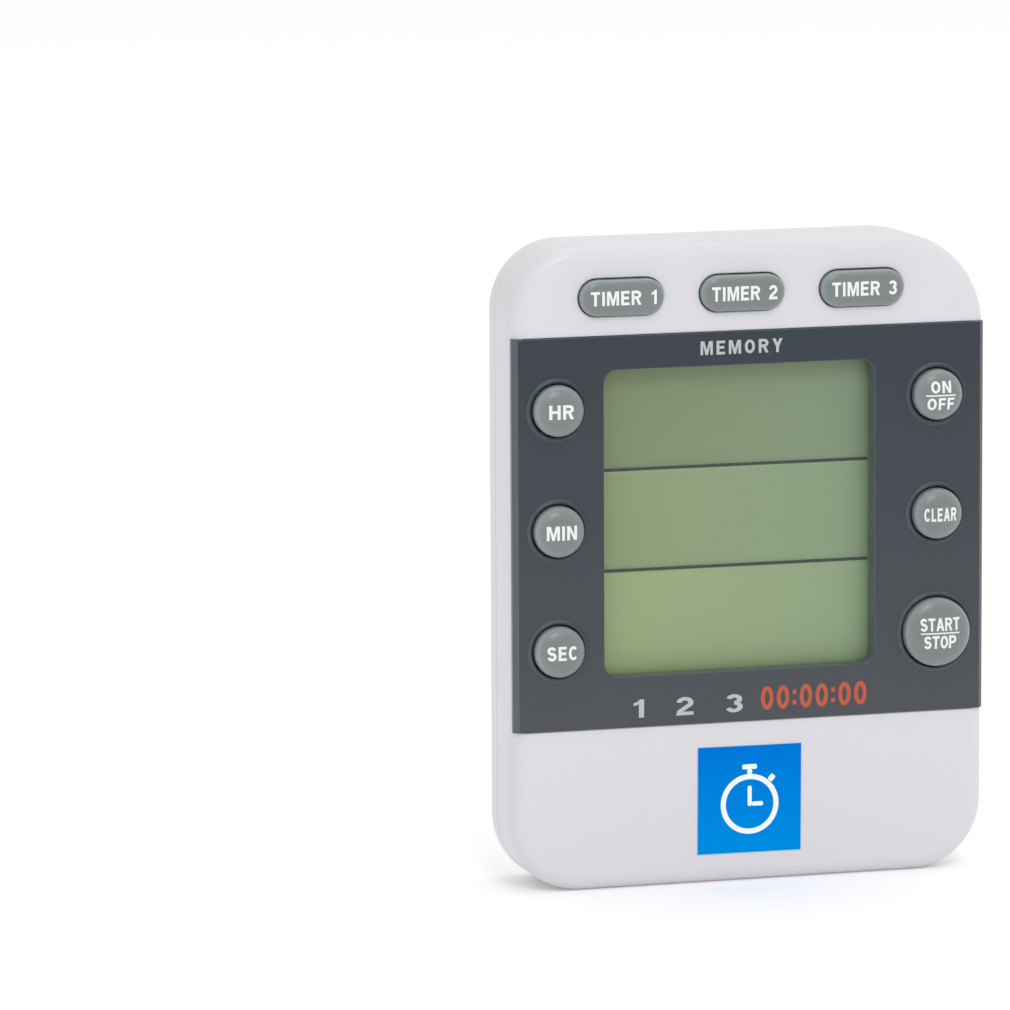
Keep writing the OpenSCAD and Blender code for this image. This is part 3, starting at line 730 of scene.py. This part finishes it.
def round_key(name, d, material):
    """A round key: a crowned cap, a rim that keeps it in the case, and a plunger."""
    low, high = key_box(name)
    rim_r = (high.z - low.z) / 2
    profile = [(t * d / 2, low.y + crown(t, ROUND_CROWN, ROUND_POWER)) for t in crown_steps()]
    profile += [
        (d / 2, FLANGE_Y),
        (rim_r, FLANGE_Y),
        (rim_r, FLANGE_Y + RIM_T),
        (PLUNGER_D / 2, FLANGE_Y + RIM_T),
        (PLUNGER_D / 2, high.y),
        (0, high.y),
    ]
    key = lathe("cap_" + name, profile, key_place(name))
    smooth(key)
    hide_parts("key_" + name)
    return finish_piece(key, name, material)


def pill(inset):
    """A timer key's outline, drawn in by inset."""
    h = PILL_H - 2 * inset
    return outline(PILL_W - 2 * inset, h, h / 2)


def pill_key(name, material):
    """A timer key: a crowned pill, a rim that keeps it in the case, and a plunger."""
    low, high = key_box(name)
    centre = key_place(name)
    rings = [
        ring(pill(PILL_H / 2 * (1 - max(t, PILL_RIDGE))), centre, low.y + crown(t, PILL_CROWN, PILL_POWER))
        for t in crown_steps()
    ]
    rings.append(ring(pill(0), centre, FLANGE_Y))
    rings += [ring(pill(-RIM), centre, y) for y in (FLANGE_Y, FLANGE_Y + RIM_T)]
    key = loft("cap_" + name, rings)
    fuse(key, rod(PLUNGER_D, FLANGE_Y, high.y, centre))
    smooth(key)
    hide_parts("key_" + name)
    return finish_piece(key, name, material)


# ---- Rubber keypad ----


def keypad_sheet(front, back, column_z):
    """The sheet: a column behind each row of round keys, a row behind the timer keys, and links."""
    row_z = key_place(PILL_KEYS[0])[1]
    column_reach = (KEYPAD_ROW[0] + KEYPAD_COLUMN[0]) / 2 - KEYPAD_LINK_W
    link_reach = (KEYPAD_ROW[0] - KEYPAD_LINK_W) / 2
    link_size = (KEYPAD_LINK_W, row_z - column_z)
    plates = [(KEYPAD_ROW, (0, row_z))]
    for side in (-1, 1):
        plates.append((KEYPAD_COLUMN, (side * column_reach, column_z)))
        plates.append((link_size, (side * link_reach, (column_z + row_z) / 2)))
    solids = []
    for size, centre in plates:
        shape = outline(*size, KEYPAD_CORNER_R)
        solids.append(loft("keypad_sheet", [ring(shape, centre, y) for y in (front, back)]))
    screws = [(x, column_z + side * COLUMN_SCREW_REACH) for x in COLUMN_SCREW_XS for side in (-1, 1)]
    screws += [(x, row_z) for x in ROW_SCREW_XS]
    holes = [rod(KEYPAD_HOLE_D, front - BEYOND, back + BEYOND, place) for place in screws]
    return cut(fuse(*solids), *holes)


def dome(name, top, front, material):
    """The dome behind a key, a fixed solid on the case's body."""
    centre = key_place(name)
    r = DOME_D / 2
    foot = r + DOME_FOOT
    root = front + KEYPAD_T / 4
    edge = [(r - across, top + deep) for across, deep in quarter_round(DOME_EDGE_R)]
    profile = [(0, top), *edge, (r, front - DOME_FOOT), (foot, front), (foot, root), (0, root)]
    made = lathe("dome_" + name, profile, centre)
    smooth(made)
    finish_piece(made, "case", material)
    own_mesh(made)


def keypad(material):
    """The silicone keypad: its sheet, and a dome behind each key."""
    low, high = box_mm("rubber_keypad")
    front = high.y - KEYPAD_T
    sheet = keypad_sheet(front, high.y, low.z + KEYPAD_COLUMN[1] / 2)
    smooth(sheet)
    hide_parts("rubber_keypad")
    finish_piece(sheet, "case", material)
    for name in (*ROUND_KEYS, *PILL_KEYS):
        dome(name, low.y, front, material)


# ---- Printing ----

# A glyph is drawn in tenths of the cap height
CAP = 10
STROKE = 1.9
PEN = STROKE / 2
WAIST = 5.2
GLYPH_GAP = 1.5
GLYPH_ARC_STEPS = 14
# In a printed mesh, points closer than PRINT_MERGE are one, and cells are about PRINT_CELL long
PRINT_MERGE = 0.002
PRINT_CELL = 0.4
SPLITS = 4
BAR_STEPS = 16


def arc(centre, radii, start, end):
    """Points along part of an ellipse, from one angle to another."""
    shares = [i / GLYPH_ARC_STEPS for i in range(GLYPH_ARC_STEPS + 1)]
    angles = [math.radians(start + (end - start) * share) for share in shares]
    return [(centre[0] + radii[0] * math.cos(a), centre[1] + radii[1] * math.sin(a)) for a in angles]


def bowl(low):
    """The bowl of an R or a P, from the stem's upper end round to a lower bar at that height."""
    top = CAP - PEN
    middle = (top + low) / 2
    return [(STROKE, top), *arc((3.7, middle), (2.1, top - middle), 90, -90), (STROKE, low)]


def pen_cells(line):
    """The four-sided cells that a pen of width STROKE covers along a line of points."""
    sides = []
    closed = line[0] == line[-1]
    for i, point in enumerate(line):
        here = Vector(point)
        before = Vector(line[i - 1]) if i else here - (Vector(line[1]) - here)
        after = Vector(line[i + 1]) if i + 1 < len(line) else here + (here - before)
        if closed and i == 0:
            before = Vector(line[-2])
        if closed and i + 1 == len(line):
            after = Vector(line[1])
        ahead = (after - here).normalized()
        across = Vector((-ahead.y, ahead.x))
        bend = ((here - before).normalized() + ahead).normalized()
        mitre = Vector((-bend.y, bend.x))
        reach = PEN / max(0.5, mitre.dot(across))
        sides.append((here + mitre * reach, here - mitre * reach))
    return [[tuple(p) for p in (a[0], a[1], b[1], b[0])] for a, b in zip(sides, sides[1:])]


def above(line):
    """The part of a line's cells above the waist."""
    return [[(x, max(y, WAIST)) for x, y in cell] for cell in pen_cells(line)]


def below(line):
    """The part of a line's cells below the waist."""
    return [[(x, min(y, WAIST)) for x, y in cell] for cell in pen_cells(line)]


def mirrored(width, shapes):
    """The shapes of a glyph's left half, and the same mirrored for its right half."""
    return shapes + [[(width - x, y) for x, y in shape] for shape in shapes]


# A plain bold sans. Each glyph has its width, the lines that a pen of width STROKE follows, and solid shapes
STEM = [(PEN, 0), (PEN, CAP)]
OVAL = (2.6, CAP / 2 - PEN)
GLYPHS = {
    " ": (3.6, [], []),
    ":": (1.9, [[(PEN, 1.6), (PEN, 3.5)], [(PEN, 6), (PEN, 7.9)]], []),
    "0": (6.2, [arc((3.1, 5), (2.15, CAP / 2 - PEN), 0, 360)], []),
    "1": (
        4.4,
        [],
        [[(2.5, 0), (4.4, 0), (4.4, 10), (2.9, 10), (2.1, 8.8), (0.6, 8), (0.6, 6.4), (2.5, 7.3)]],
    ),
    "2": (6.3, [[*arc((3.1, 6.85), (2.15, 2.2), 175, -30), (1.3, 2.2), (1.0, PEN), (6.2, PEN)]], []),
    "3": (
        6.2,
        [],
        [*above(arc((3, 7.15), (2, 1.9), 165, -90)), *below(arc((3, 3.1), (2.2, 2.15), 90, -165))],
    ),
    "A": (
        7.4,
        [[(2.3, 3.1), (5.1, 3.1)]],
        mirrored(7.4, [[(0, 0), (2.1, 0), (3.7, 7), (3.7, 10), (2.6, 10)]]),
    ),
    "C": (6.7, [arc((3.55, 5), OVAL, 42, 318)], []),
    "E": (
        5.9,
        [[(5.9, CAP - PEN), (PEN, CAP - PEN), (PEN, PEN), (5.9, PEN)], [(STROKE, 5.1), (5.4, 5.1)]],
        [],
    ),
    "F": (5.6, [[(5.6, CAP - PEN), (PEN, CAP - PEN), (PEN, 0)], [(STROKE, 4.9), (5.1, 4.9)]], []),
    "H": (6.9, [STEM, [(6.9 - PEN, 0), (6.9 - PEN, CAP)], [(STROKE, 5.2), (6.9 - STROKE, 5.2)]], []),
    "I": (1.9, [STEM], []),
    "L": (5.5, [[(PEN, CAP), (PEN, PEN), (5.5, PEN)]], []),
    "M": (
        8.5,
        [],
        mirrored(
            8.5,
            [
                [(0, 0), (1.8, 0), (1.8, 7.2), (2.6, 10), (0, 10)],
                [(1.8, 7.2), (3.5, 0), (4.25, 0), (4.25, 3.6), (2.6, 10)],
            ],
        ),
    ),
    "N": (
        7,
        [],
        [
            [(0, 0), (1.9, 0), (1.9, 6.6), (2.1, 10), (0, 10)],
            [(1.9, 6.6), (4.9, 0), (5.1, 3.4), (2.1, 10)],
            [(7, 0), (4.9, 0), (5.1, 3.4), (5.1, 10), (7, 10)],
        ],
    ),
    "O": (7.1, [arc((3.55, 5), OVAL, 0, 360)], []),
    "P": (6.7, [STEM, bowl(4.7)], []),
    "R": (6.9, [STEM, bowl(5.1)], [[(3, 4.2), (5, 4.2), (6.9, 0), (4.8, 0)]]),
    "S": (
        6.4,
        [[*arc((3.2, 7.1), (2.15, 1.95), 15, 270), *arc((3.2, 3.05), (2.25, 2.1), 90, -165)]],
        [],
    ),
    "T": (6.4, [[(0, CAP - PEN), (6.4, CAP - PEN)], [(3.2, CAP - STROKE), (3.2, 0)]], []),
    "Y": (
        7.2,
        [[(3.6, 4), (3.6, 0)]],
        mirrored(7.2, [[(0, 10), (2.2, 10), (3.6, 6.6), (3.6, 4), (2.65, 4)]]),
    ),
}


def set_text(text, gap):
    """The cells of a line of text, with that gap between its glyphs, and the line's length."""
    cells = []
    pen_x = 0
    for character in text:
        width, lines, shapes = GLYPHS[character]
        drawn = [cell for line in lines for cell in pen_cells(line)] + shapes
        cells += [[(pen_x + x, y) for x, y in cell] for cell in drawn]
        pen_x += width + gap
    return cells, pen_x - gap


def lettering(name, text, size, centre, face, body, material, gap=GLYPH_GAP):
    """Printed text of size (width, cap height), centred at (x, z), lying on the face y = face(x, z)."""
    cells, length = set_text(text, gap)
    scale = (size[0] / length, size[1] / CAP)
    work = bmesh.new()
    for cell in cells:
        placed = [((x - length / 2) * scale[0], (y - CAP / 2) * scale[1]) for x, y in cell]
        corners = ring(placed, centre, 0)
        work.faces.new([work.verts.new(corner) for corner in corners])
    bmesh.ops.remove_doubles(work, verts=work.verts, dist=PRINT_MERGE)
    bmesh.ops.dissolve_degenerate(work, edges=work.edges, dist=PRINT_MERGE)
    refine(work)
    for v in work.verts:
        v.co.y = face(v.co.x, v.co.z) - PRINT_T / 2
        v.co *= MM
    mesh = bpy.data.meshes.new(name)
    work.to_mesh(mesh)
    work.free()
    printed = bpy.data.objects.new(name, mesh)
    bpy.context.scene.collection.objects.link(printed)
    thickness = printed.modifiers.new("ink_thickness", "SOLIDIFY")
    thickness.thickness = PRINT_T * MM
    thickness.offset = 0
    apply_modifiers(printed)
    return finish_piece(printed, body, material)


def refine(work):
    """Splits a flat mesh into small cells, so that it can follow a curved face."""
    for _ in range(SPLITS):
        bmesh.ops.triangulate(work, faces=work.faces)
        long_edges = [e for e in work.edges if e.calc_length() > PRINT_CELL]
        bmesh.ops.subdivide_edges(work, edges=long_edges, cuts=1)
    bmesh.ops.triangulate(work, faces=work.faces)


def bar(name, width, thickness, centre, face, body, material):
    """A printed line across a face."""
    rings = []
    for i in range(BAR_STEPS + 1):
        x = centre[0] + width * (i / BAR_STEPS - 0.5)
        y = face(x, centre[1])
        low = centre[1] - thickness / 2
        high = centre[1] + thickness / 2
        corners = ((-PRINT_T, high), (-PRINT_T, low), (PRINT_T, low), (PRINT_T, high))
        rings.append([(x, y + deep, z) for deep, z in corners])
    return finish_piece(loft(name, rings), body, material)


def key_face(name):
    """The depth of a key's crowned face at (x, z)."""
    centre = key_place(name)
    top = key_box(name)[0].y
    if name in PILL_KEYS:
        radius, straight, rise, power = PILL_H / 2, (PILL_W - PILL_H) / 2, PILL_CROWN, PILL_POWER
    else:
        radius, straight, rise, power = ROUND_KEYS[name] / 2, 0, ROUND_CROWN, ROUND_POWER

    def depth(x, z):
        past_middle = max(0, abs(x - centre[0]) - straight)
        away = math.hypot(past_middle, z - centre[1])
        return top + crown(min(1, away / radius), rise, power)

    return depth


def flat_face(y):
    """The depth of a flat face, in the form that the curved ones have."""
    return lambda x, z: y


# Legends on one line: key, text, width and cap height
SINGLE_LEGENDS = (
    ("hr", "HR", 3.6, 2.0),
    ("min", "MIN", 4.4, 2.0),
    ("sec", "SEC", 4.4, 2.0),
    ("clear", "CLEAR", 4.8, 1.9),
)
# Legends on two lines: key, upper and lower text, their widths, the cap height, the bar's length and the gap
DOUBLE_LEGENDS = (
    ("on_off", "ON", "OFF", 3.0, 4.0, 1.7, 4.4, GLYPH_GAP),
    ("start_stop", "START", "STOP", 5.9, 4.8, 1.85, 5.8, 0.8),
)
BAR_T = 0.2
LINE_GAP = 0.35
PILL_LEGEND = (9.6, 2.0)
# Legends on the panel: name, text, width and cap height, place, and gap
PANEL_LEGENDS = (
    ("memory", "MEMORY", (12.1, 1.95), (-1.4, 76.4), 2.6),
    ("numerals", "1  2  3", (16.4, 2.6), (-9.45, 25.75), GLYPH_GAP),
    ("digits", "00:00:00", (15.8, 3.4), (9.3, 26.25), GLYPH_GAP),
)


def key_legends(material):
    """The white legend on each key."""
    for name, text, width, height in SINGLE_LEGENDS:
        lettering("legend_" + name, text, (width, height), key_place(name), key_face(name), name, material)
    for name, upper, lower, upper_w, lower_w, height, bar_w, gap in DOUBLE_LEGENDS:
        x, z = key_place(name)
        face = key_face(name)
        step = height / 2 + LINE_GAP
        lines = (("upper", upper, upper_w, z + step), ("lower", lower, lower_w, z - step))
        for part, text, width, line_z in lines:
            size = (width, height)
            lettering(f"legend_{name}_{part}", text, size, (x, line_z), face, name, material, gap)
        bar(f"legend_{name}_bar", bar_w, BAR_T, (x, z), face, name, material)
    for number, name in enumerate(PILL_KEYS, start=1):
        face = key_face(name)
        lettering("legend_" + name, f"TIMER {number}", PILL_LEGEND, key_place(name), face, name, material)


def panel_printing(grey, orange):
    """The grey word and numerals on the panel, and the orange digits."""
    face = flat_face(PANEL_FRONT_Y)
    for (name, text, size, place, gap), material in zip(PANEL_LEGENDS, (grey, grey, orange)):
        lettering("legend_" + name, text, size, place, face, "case", material, gap)


# ---- Front label ----


# The stopwatch: its dial's radius and line width, and how far its middle lies below the label's
DIAL_R = 4.3
DIAL_LINE = 0.75
DIAL_DROP = 0.7
# The strokes round and in the dial: name, width and height, place from its middle, and turn
DIAL_STROKES = (
    ("label_crown", (DIAL_LINE, 0.7), (0, DIAL_R + 0.35), 0),
    ("label_crown_cap", (2.2, 0.7), (0, DIAL_R + 1.05), 0),
    ("label_lug", (0.8, 1), (0.76 * DIAL_R, 0.84 * DIAL_R), -42),
    ("label_hand", (0.6, 2.9), (0, 1.15), 0),
    ("label_short_hand", (1.7, 0.6), (1.15, 0), 0),
)
DIAL_STROKE_R = 0.25


def pictogram(material):
    """A plain stopwatch in white on the label."""
    x, z = ((LABEL_LOW + LABEL_HIGH) / 2).xz - Vector((0, DIAL_DROP))
    front = LABEL_LOW.y - PRINT_T
    back = LABEL_LOW.y + PRINT_T
    inner = DIAL_R - DIAL_LINE
    profile = [(inner, front), (DIAL_R, front), (DIAL_R, back), (inner, back)]
    finish_piece(lathe("label_dial", profile, (x, z), closed=True), "case", material)
    for name, (w, h), offset, turn in DIAL_STROKES:
        rotate = Matrix.Rotation(math.radians(turn), 2)
        shape = [rotate @ Vector(p) for p in outline(w, h, DIAL_STROKE_R)]
        rings = [ring(shape, (x + offset[0], z + offset[1]), y) for y in (front, back)]
        finish_piece(loft(name, rings), "case", material)


# ---- Display ----


def dividers(material):
    """The two dark lines that split the display into three rows."""
    front = SCREEN_LOW.y
    for name, z in zip(("divider_upper", "divider_lower"), DIVIDERS):
        strip = block(
            name,
            (SCREEN_LOW.x + DIVIDER_INSET, front - PRINT_T, z - DIVIDER_T / 2),
            (SCREEN_HIGH.x - DIVIDER_INSET, front + PRINT_T, z + DIVIDER_T / 2),
        )
        finish_piece(strip, "case", material)


# ---- Rear shell ----

SCREW_X = 28.7
SCREW_ZS = (9.5, 81.5)
SCREW_HEAD_D = 4.2
SCREW_BORE_D = 2.4
SCREW_BOSS_D = 5.2
SCREW_SEAT_Y = REAR_INNER_Y - 1.4
TRAY_X = 24.3
TRAY_BOTTOM = 3.6
TRAY_TOP = 25.1
TRAY_WALL = 1
TRAY_SIDE = 1.6
TRAY_FLOOR_Y = -4.6
TRAY_FLOOR_T = 0.7
DOOR_GAP = 0.2
DOOR_SEAT_GAP = 0.1
DOOR_T = 1.6
DOOR_PIN_D = 1
DOOR_PIN_L = 1
PIVOT_GAP = 0.1
LEG_GAP = 0.3
LEG_T = 2.6
LEG_PIN_D = 1.6
LEG_PIN_L = 0.9
LEG_PIVOT_DEPTH = 1.5
LEG_POCKET_DEPTH = 3.2
LEG_POCKET_WALL = 1.2
SOUNDER_Z = 79.2
SOUNDER_D = 15
SOUNDER_WALL = 1.5
SOUNDER_RING_H = 1.2
CHAMBER_DEPTH = 2.2
VENT_D = 1.3
VENT_RING_R = 3.4
VENT_COUNT = 6
MAGNET_D = 9.2
MAGNET_GAP = 0.05
# Width, height and corner radius
SLIDER_SLOT = (2.9, 8.4, 0.3)
SLIDER_RECESS = (6.5, 12.4, 1.5)
SLIDER_RECESS_DEPTH = 0.9


def rod_x(d, half, y, z):
    """A cutter along X, as wide as twice half."""
    rings = [[(x, y + d / 2 * math.cos(a), z + d / 2 * math.sin(a)) for a in TURNS] for x in (-half, half)]
    return loft("rod_x", rings)


def battery_cutters():
    """The tray's inside, and the door's seat and hinge holes."""
    low, high = box_mm("battery_door")
    seat = high.x - DOOR_PIN_L
    return [
        block("tray", (-TRAY_X, TRAY_FLOOR_Y, TRAY_BOTTOM), (TRAY_X, REAR_Y + BEYOND, TRAY_TOP)),
        block(
            "door_seat",
            (-seat - DOOR_GAP, low.y - DOOR_SEAT_GAP, TRAY_BOTTOM),
            (seat + DOOR_GAP, REAR_Y + BEYOND, high.z + DOOR_GAP),
        ),
        rod_x(DOOR_PIN_D + PIVOT_GAP, high.x + DOOR_GAP, REAR_Y - DOOR_T / 2, low.z + DOOR_T / 2),
    ]


def leg_cutters():
    """The stand leg's pocket and the holes for its pins."""
    low, high = box_mm("stand_leg")
    half = high.x - LEG_PIN_L + LEG_GAP
    hinge_z = high.z - LEG_T / 2
    return [
        block(
            "leg_pocket",
            (-half, REAR_Y - LEG_POCKET_DEPTH, low.z - LEG_GAP),
            (half, REAR_Y + BEYOND, high.z + LEG_GAP),
        ),
        rod_x(LEG_PIN_D + PIVOT_GAP, high.x + PIVOT_GAP, REAR_Y - LEG_PIVOT_DEPTH, hinge_z),
    ]


def vent_cutters():
    """The sounding chamber and a ring of vents round a middle one."""
    middle = (0, SOUNDER_Z)
    tools = [rod(SOUNDER_D - 2 * SOUNDER_WALL, REAR_INNER_Y - CHAMBER_DEPTH, REAR_INNER_Y, middle)]
    places = [middle]
    for i in range(VENT_COUNT):
        a = 2 * math.pi * i / VENT_COUNT
        places.append((VENT_RING_R * math.cos(a), SOUNDER_Z + VENT_RING_R * math.sin(a)))
    for place in places:
        tools.append(rod(VENT_D, REAR_INNER_Y - BEYOND, REAR_Y + BEYOND, place))
    return tools


def magnet_cutters():
    """A round pocket for each magnet."""
    low, high = box_mm("magnets")
    x = high.x - (high.z - low.z) / 2
    z = (low.z + high.z) / 2
    return [rod(MAGNET_D, low.y - MAGNET_GAP, REAR_Y + BEYOND, (side * x, z)) for side in (-1, 1)]


def screw_cutters():
    """A bore for each case screw, with a counterbore for its head."""
    bore = SCREW_BORE_D / 2
    head = SCREW_HEAD_D / 2
    profile = [(bore, SPLIT_Y - BEYOND), (bore, SCREW_SEAT_Y), (head, SCREW_SEAT_Y), (head, REAR_Y + BEYOND)]
    return [lathe("screw_cutter", profile, (x, z)) for x in (-SCREW_X, SCREW_X) for z in SCREW_ZS]


def slider_cutters():
    """The volume slider's recess, and the slot through which it reaches its switch."""
    low, high = box_mm("volume_slider")
    centre = ((low + high) / 2).xz
    tools = []
    for name, shape, inner_y in (
        ("slider_recess", outline(*SLIDER_RECESS), REAR_Y - SLIDER_RECESS_DEPTH),
        ("slider_slot", outline(*SLIDER_SLOT), REAR_INNER_Y - BEYOND),
    ):
        tools.append(loft(name, [ring(shape, centre, y) for y in (inner_y, REAR_Y + BEYOND)]))
    return tools


def rear_walls():
    """The battery tray, the leg's pocket, the screw bosses and the sounder's ring, as solid blocks."""
    leg_low, leg_high = box_mm("stand_leg")
    half = leg_high.x - LEG_PIN_L + LEG_GAP + LEG_POCKET_WALL
    reach = LEG_GAP + LEG_POCKET_WALL
    base = REAR_INNER_Y + OVERLAP
    walls = [
        block(
            "tray_block",
            (-TRAY_X - TRAY_SIDE, TRAY_FLOOR_Y - TRAY_FLOOR_T, TRAY_BOTTOM - TRAY_WALL),
            (TRAY_X + TRAY_SIDE, base, TRAY_TOP + TRAY_WALL),
        ),
        block(
            "pocket_block",
            (-half, REAR_Y - LEG_POCKET_DEPTH - LEG_POCKET_WALL, leg_low.z - reach),
            (half, base, leg_high.z + reach),
        ),
        rod(SOUNDER_D, REAR_INNER_Y - SOUNDER_RING_H, base, (0, SOUNDER_Z)),
    ]
    walls += [rod(SCREW_BOSS_D, SPLIT_Y, base, (x, z)) for x in (-SCREW_X, SCREW_X) for z in SCREW_ZS]
    return walls


def rear_shell(material):
    """The rear shell, rounder at its sides than at its ends, with the tray, the pocket and the bosses."""
    rings = seam_rings(REAR_INNER_Y, 1)
    for i in range(2 * ARC_STEPS + 1):
        y = REAR_Y - REAR_SIDE_R * (1 - math.sin(math.radians(90 * i / (2 * ARC_STEPS))))
        rings.append(case_ring(drawn_in(y, REAR_SIDE_R), drawn_in(y, REAR_END_R), y))
    shell = loft("shell_rear", rings)
    fuse(shell, *rear_walls())
    groups = (battery_cutters, leg_cutters, vent_cutters, magnet_cutters, screw_cutters, slider_cutters)
    cut(shell, *[tool for cutters in groups for tool in cutters()])
    smooth(shell)
    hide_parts("rear_shell")
    return finish_piece(shell, "case", material)


# ---- Carried-over CAD nodes ----


# Points of a CAD mesh closer than this are one, and its edges sharper than this are softened
WELD_GAP = 0.001
SOFT_ANGLE = 35


def soften(node, width):
    """Rounds a CAD node's hard edges by width millimetres with modifiers, and shades it smoothly."""
    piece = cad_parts[node]
    weld = piece.modifiers.new("weld", "WELD")
    weld.merge_threshold = WELD_GAP * MM
    bevel = piece.modifiers.new("soft_edges", "BEVEL")
    bevel.width = width * MM
    bevel.segments = 3
    bevel.limit_method = "ANGLE"
    bevel.angle_limit = math.radians(SOFT_ANGLE)
    bevel.harden_normals = True
    piece.data.shade_smooth()


def dress(material, *nodes, edge=0.0):
    """Gives CAD nodes a material, and softens their edges by that many millimetres."""
    for node in nodes:
        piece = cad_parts[node]
        piece.data.materials.clear()
        piece.data.materials.append(material)
        if edge:
            soften(node, edge)


# ---- Studio ----

CAMERA_YAW = 16.217
CAMERA_PITCH = 8.424
CAMERA_ROLL = -0.313
CAMERA_AIM = Vector((-33.641, 0, 54.309))
CAMERA_DISTANCE = 1010.84
CAMERA_LENS = 256.6
CAMERA_SENSOR = 36
# The nearest and farthest distances that the camera sees, in metres
CAMERA_RANGE = (0.05, 20)
FLOOR_W = 6000
FLOOR_Z = -0.02
FLOOR_GLOW = 0.12
# Brightness of the surround at the far left and at the far right
SURROUND_LIGHT = (0.76, 1.06)
# The soft lights: name, place and size in metres, and power in watts
LIGHTS = (
    ("key_light", (-0.1, -1.0, 0.9), 0.3, 3),
    ("top_light", (0.1, 0.1, 1.3), 0.8, 2),
)


def camera():
    """A long lens that looks down a little at the front, from the left."""
    yaw = math.radians(CAMERA_YAW)
    pitch = math.radians(CAMERA_PITCH)
    forward = Vector((math.sin(yaw) * math.cos(pitch), math.cos(yaw) * math.cos(pitch), -math.sin(pitch)))
    right = Vector((math.cos(yaw), -math.sin(yaw), 0))
    up = right.cross(forward)
    axes = Matrix((right, up, -forward)).transposed()
    roll = Matrix.Rotation(math.radians(CAMERA_ROLL), 3, "Z")
    made = bpy.data.objects.new("camera", bpy.data.cameras.new("camera"))
    bpy.context.scene.collection.objects.link(made)
    place = Matrix.Translation((CAMERA_AIM - forward * CAMERA_DISTANCE) * MM)
    made.matrix_world = place @ (axes @ roll).to_4x4()
    made.data.sensor_width = CAMERA_SENSOR
    made.data.lens = CAMERA_LENS
    made.data.clip_start, made.data.clip_end = CAMERA_RANGE
    bpy.context.scene.camera = made


def area_light(name, place, size, power):
    """A square soft light that points at the middle of the case."""
    light = bpy.data.lights.new(name, "AREA")
    light.size = size
    light.energy = power
    made = bpy.data.objects.new(name, light)
    bpy.context.scene.collection.objects.link(made)
    made.location = place
    towards = Vector((0, 0, CASE_H / 2 * MM)) - Vector(place)
    made.rotation_euler = towards.to_track_quat("-Z", "Y").to_euler()


def surround():
    """A white surround that is a little dimmer to the left, but is itself seen as plain white."""
    world = bpy.data.worlds.new("surround")
    world.use_nodes = True
    add, link, background = node_set(world, "Background")
    background.inputs["Color"].default_value = (1, 1, 1, 1)
    brightness = remap(add, link, axis(add, link, "Generated", "X"), (-1, 1), SURROUND_LIGHT)
    shown = add("ShaderNodeMix", B=1)
    link(add("ShaderNodeLightPath").outputs["Is Camera Ray"], shown.inputs["Factor"])
    link(brightness, shown.inputs["A"])
    link(shown.outputs["Result"], background.inputs["Strength"])
    return world


def floor_white():
    """A matt white floor that glows a little, so that it reads as plain white."""
    material = surface("floor_white", srgb(246, 246, 247), srgb(244, 244, 246), (0.8, 0.9), grain=5, bump=0)
    shader = node_set(material)[2]
    shader.inputs["Emission Color"].default_value = (1, 1, 1, 1)
    shader.inputs["Emission Strength"].default_value = FLOOR_GLOW
    return material


def studio():
    """A white room: a white surround, soft lights in front and above, and a white floor."""
    bpy.context.scene.world = surround()
    for light in LIGHTS:
        area_light(*light)
    half = FLOOR_W / 2
    corners = [(x * half, y * half, FLOOR_Z) for x, y in ((-1, -1), (1, -1), (1, 1), (-1, 1))]
    floor = mesh_object("floor", corners, [(0, 1, 2, 3)])
    floor.data.materials.append(floor_white())
    bpy.context.scene.view_settings.view_transform = "Standard"


# ---- Assembly ----


def build():
    """Makes and dresses every piece of the timer."""
    white = case_white()
    grey = key_grey()
    plate = steel()
    rubber = silicone()
    front_shell(white)
    face_panel(panel_grey())
    rear_shell(white)
    for name, d in ROUND_KEYS.items():
        round_key(name, d, grey)
    for name in PILL_KEYS:
        pill_key(name, grey)
    keypad(rubber)
    key_legends(ink("legend_white", srgb(226, 230, 228)))
    panel_printing(ink("print_grey", srgb(176, 180, 180)), ink("print_orange", srgb(180, 78, 48)))
    pictogram(ink("label_white", srgb(232, 240, 246)))
    dividers(ink("divider_ink", srgb(48, 54, 46)))
    dress(white, "battery_door", "stand_leg", edge=0.25)
    dress(label_blue(), "front_label")
    dress(glass("window", srgb(132, 150, 122), 0.02), "display_window")
    dress(screen(), "lcd_polarizer")
    dress(glass("lcd_glass", srgb(200, 210, 196), 0.3), "lcd_front_glass", "lcd_rear_glass")
    dress(reflector(), "lcd_reflector")
    dress(frame_plastic(), "lcd_frame", edge=0.1)
    dress(plate, "case_screws", "board_screws", "magnets", edge=0.08)
    dress(plate, "contact_positive", "contact_negative", "contact_bridge", "volume_switch", "crystal")
    dress(slider_black(), "volume_slider", "filter_capacitor", edge=0.08)
    dress(rubber, "zebra_strip_upper", "zebra_strip_lower", edge=0.1)
    dress(board_green(), "main_board")
    dress(resin_black(), "controller_blob")
    dress(chip_tan(), "chip_parts")
    dress(brass(), "sounder_disc")
    dress(ceramic(), "sounder_ceramic")
    dress(wire_red(), "sounder_wires", "battery_wires")
    dress(cell_jacket(), "battery_upper", "battery_lower", edge=0.3)


build()
studio()
camera()
bpy.context.view_layer.update()
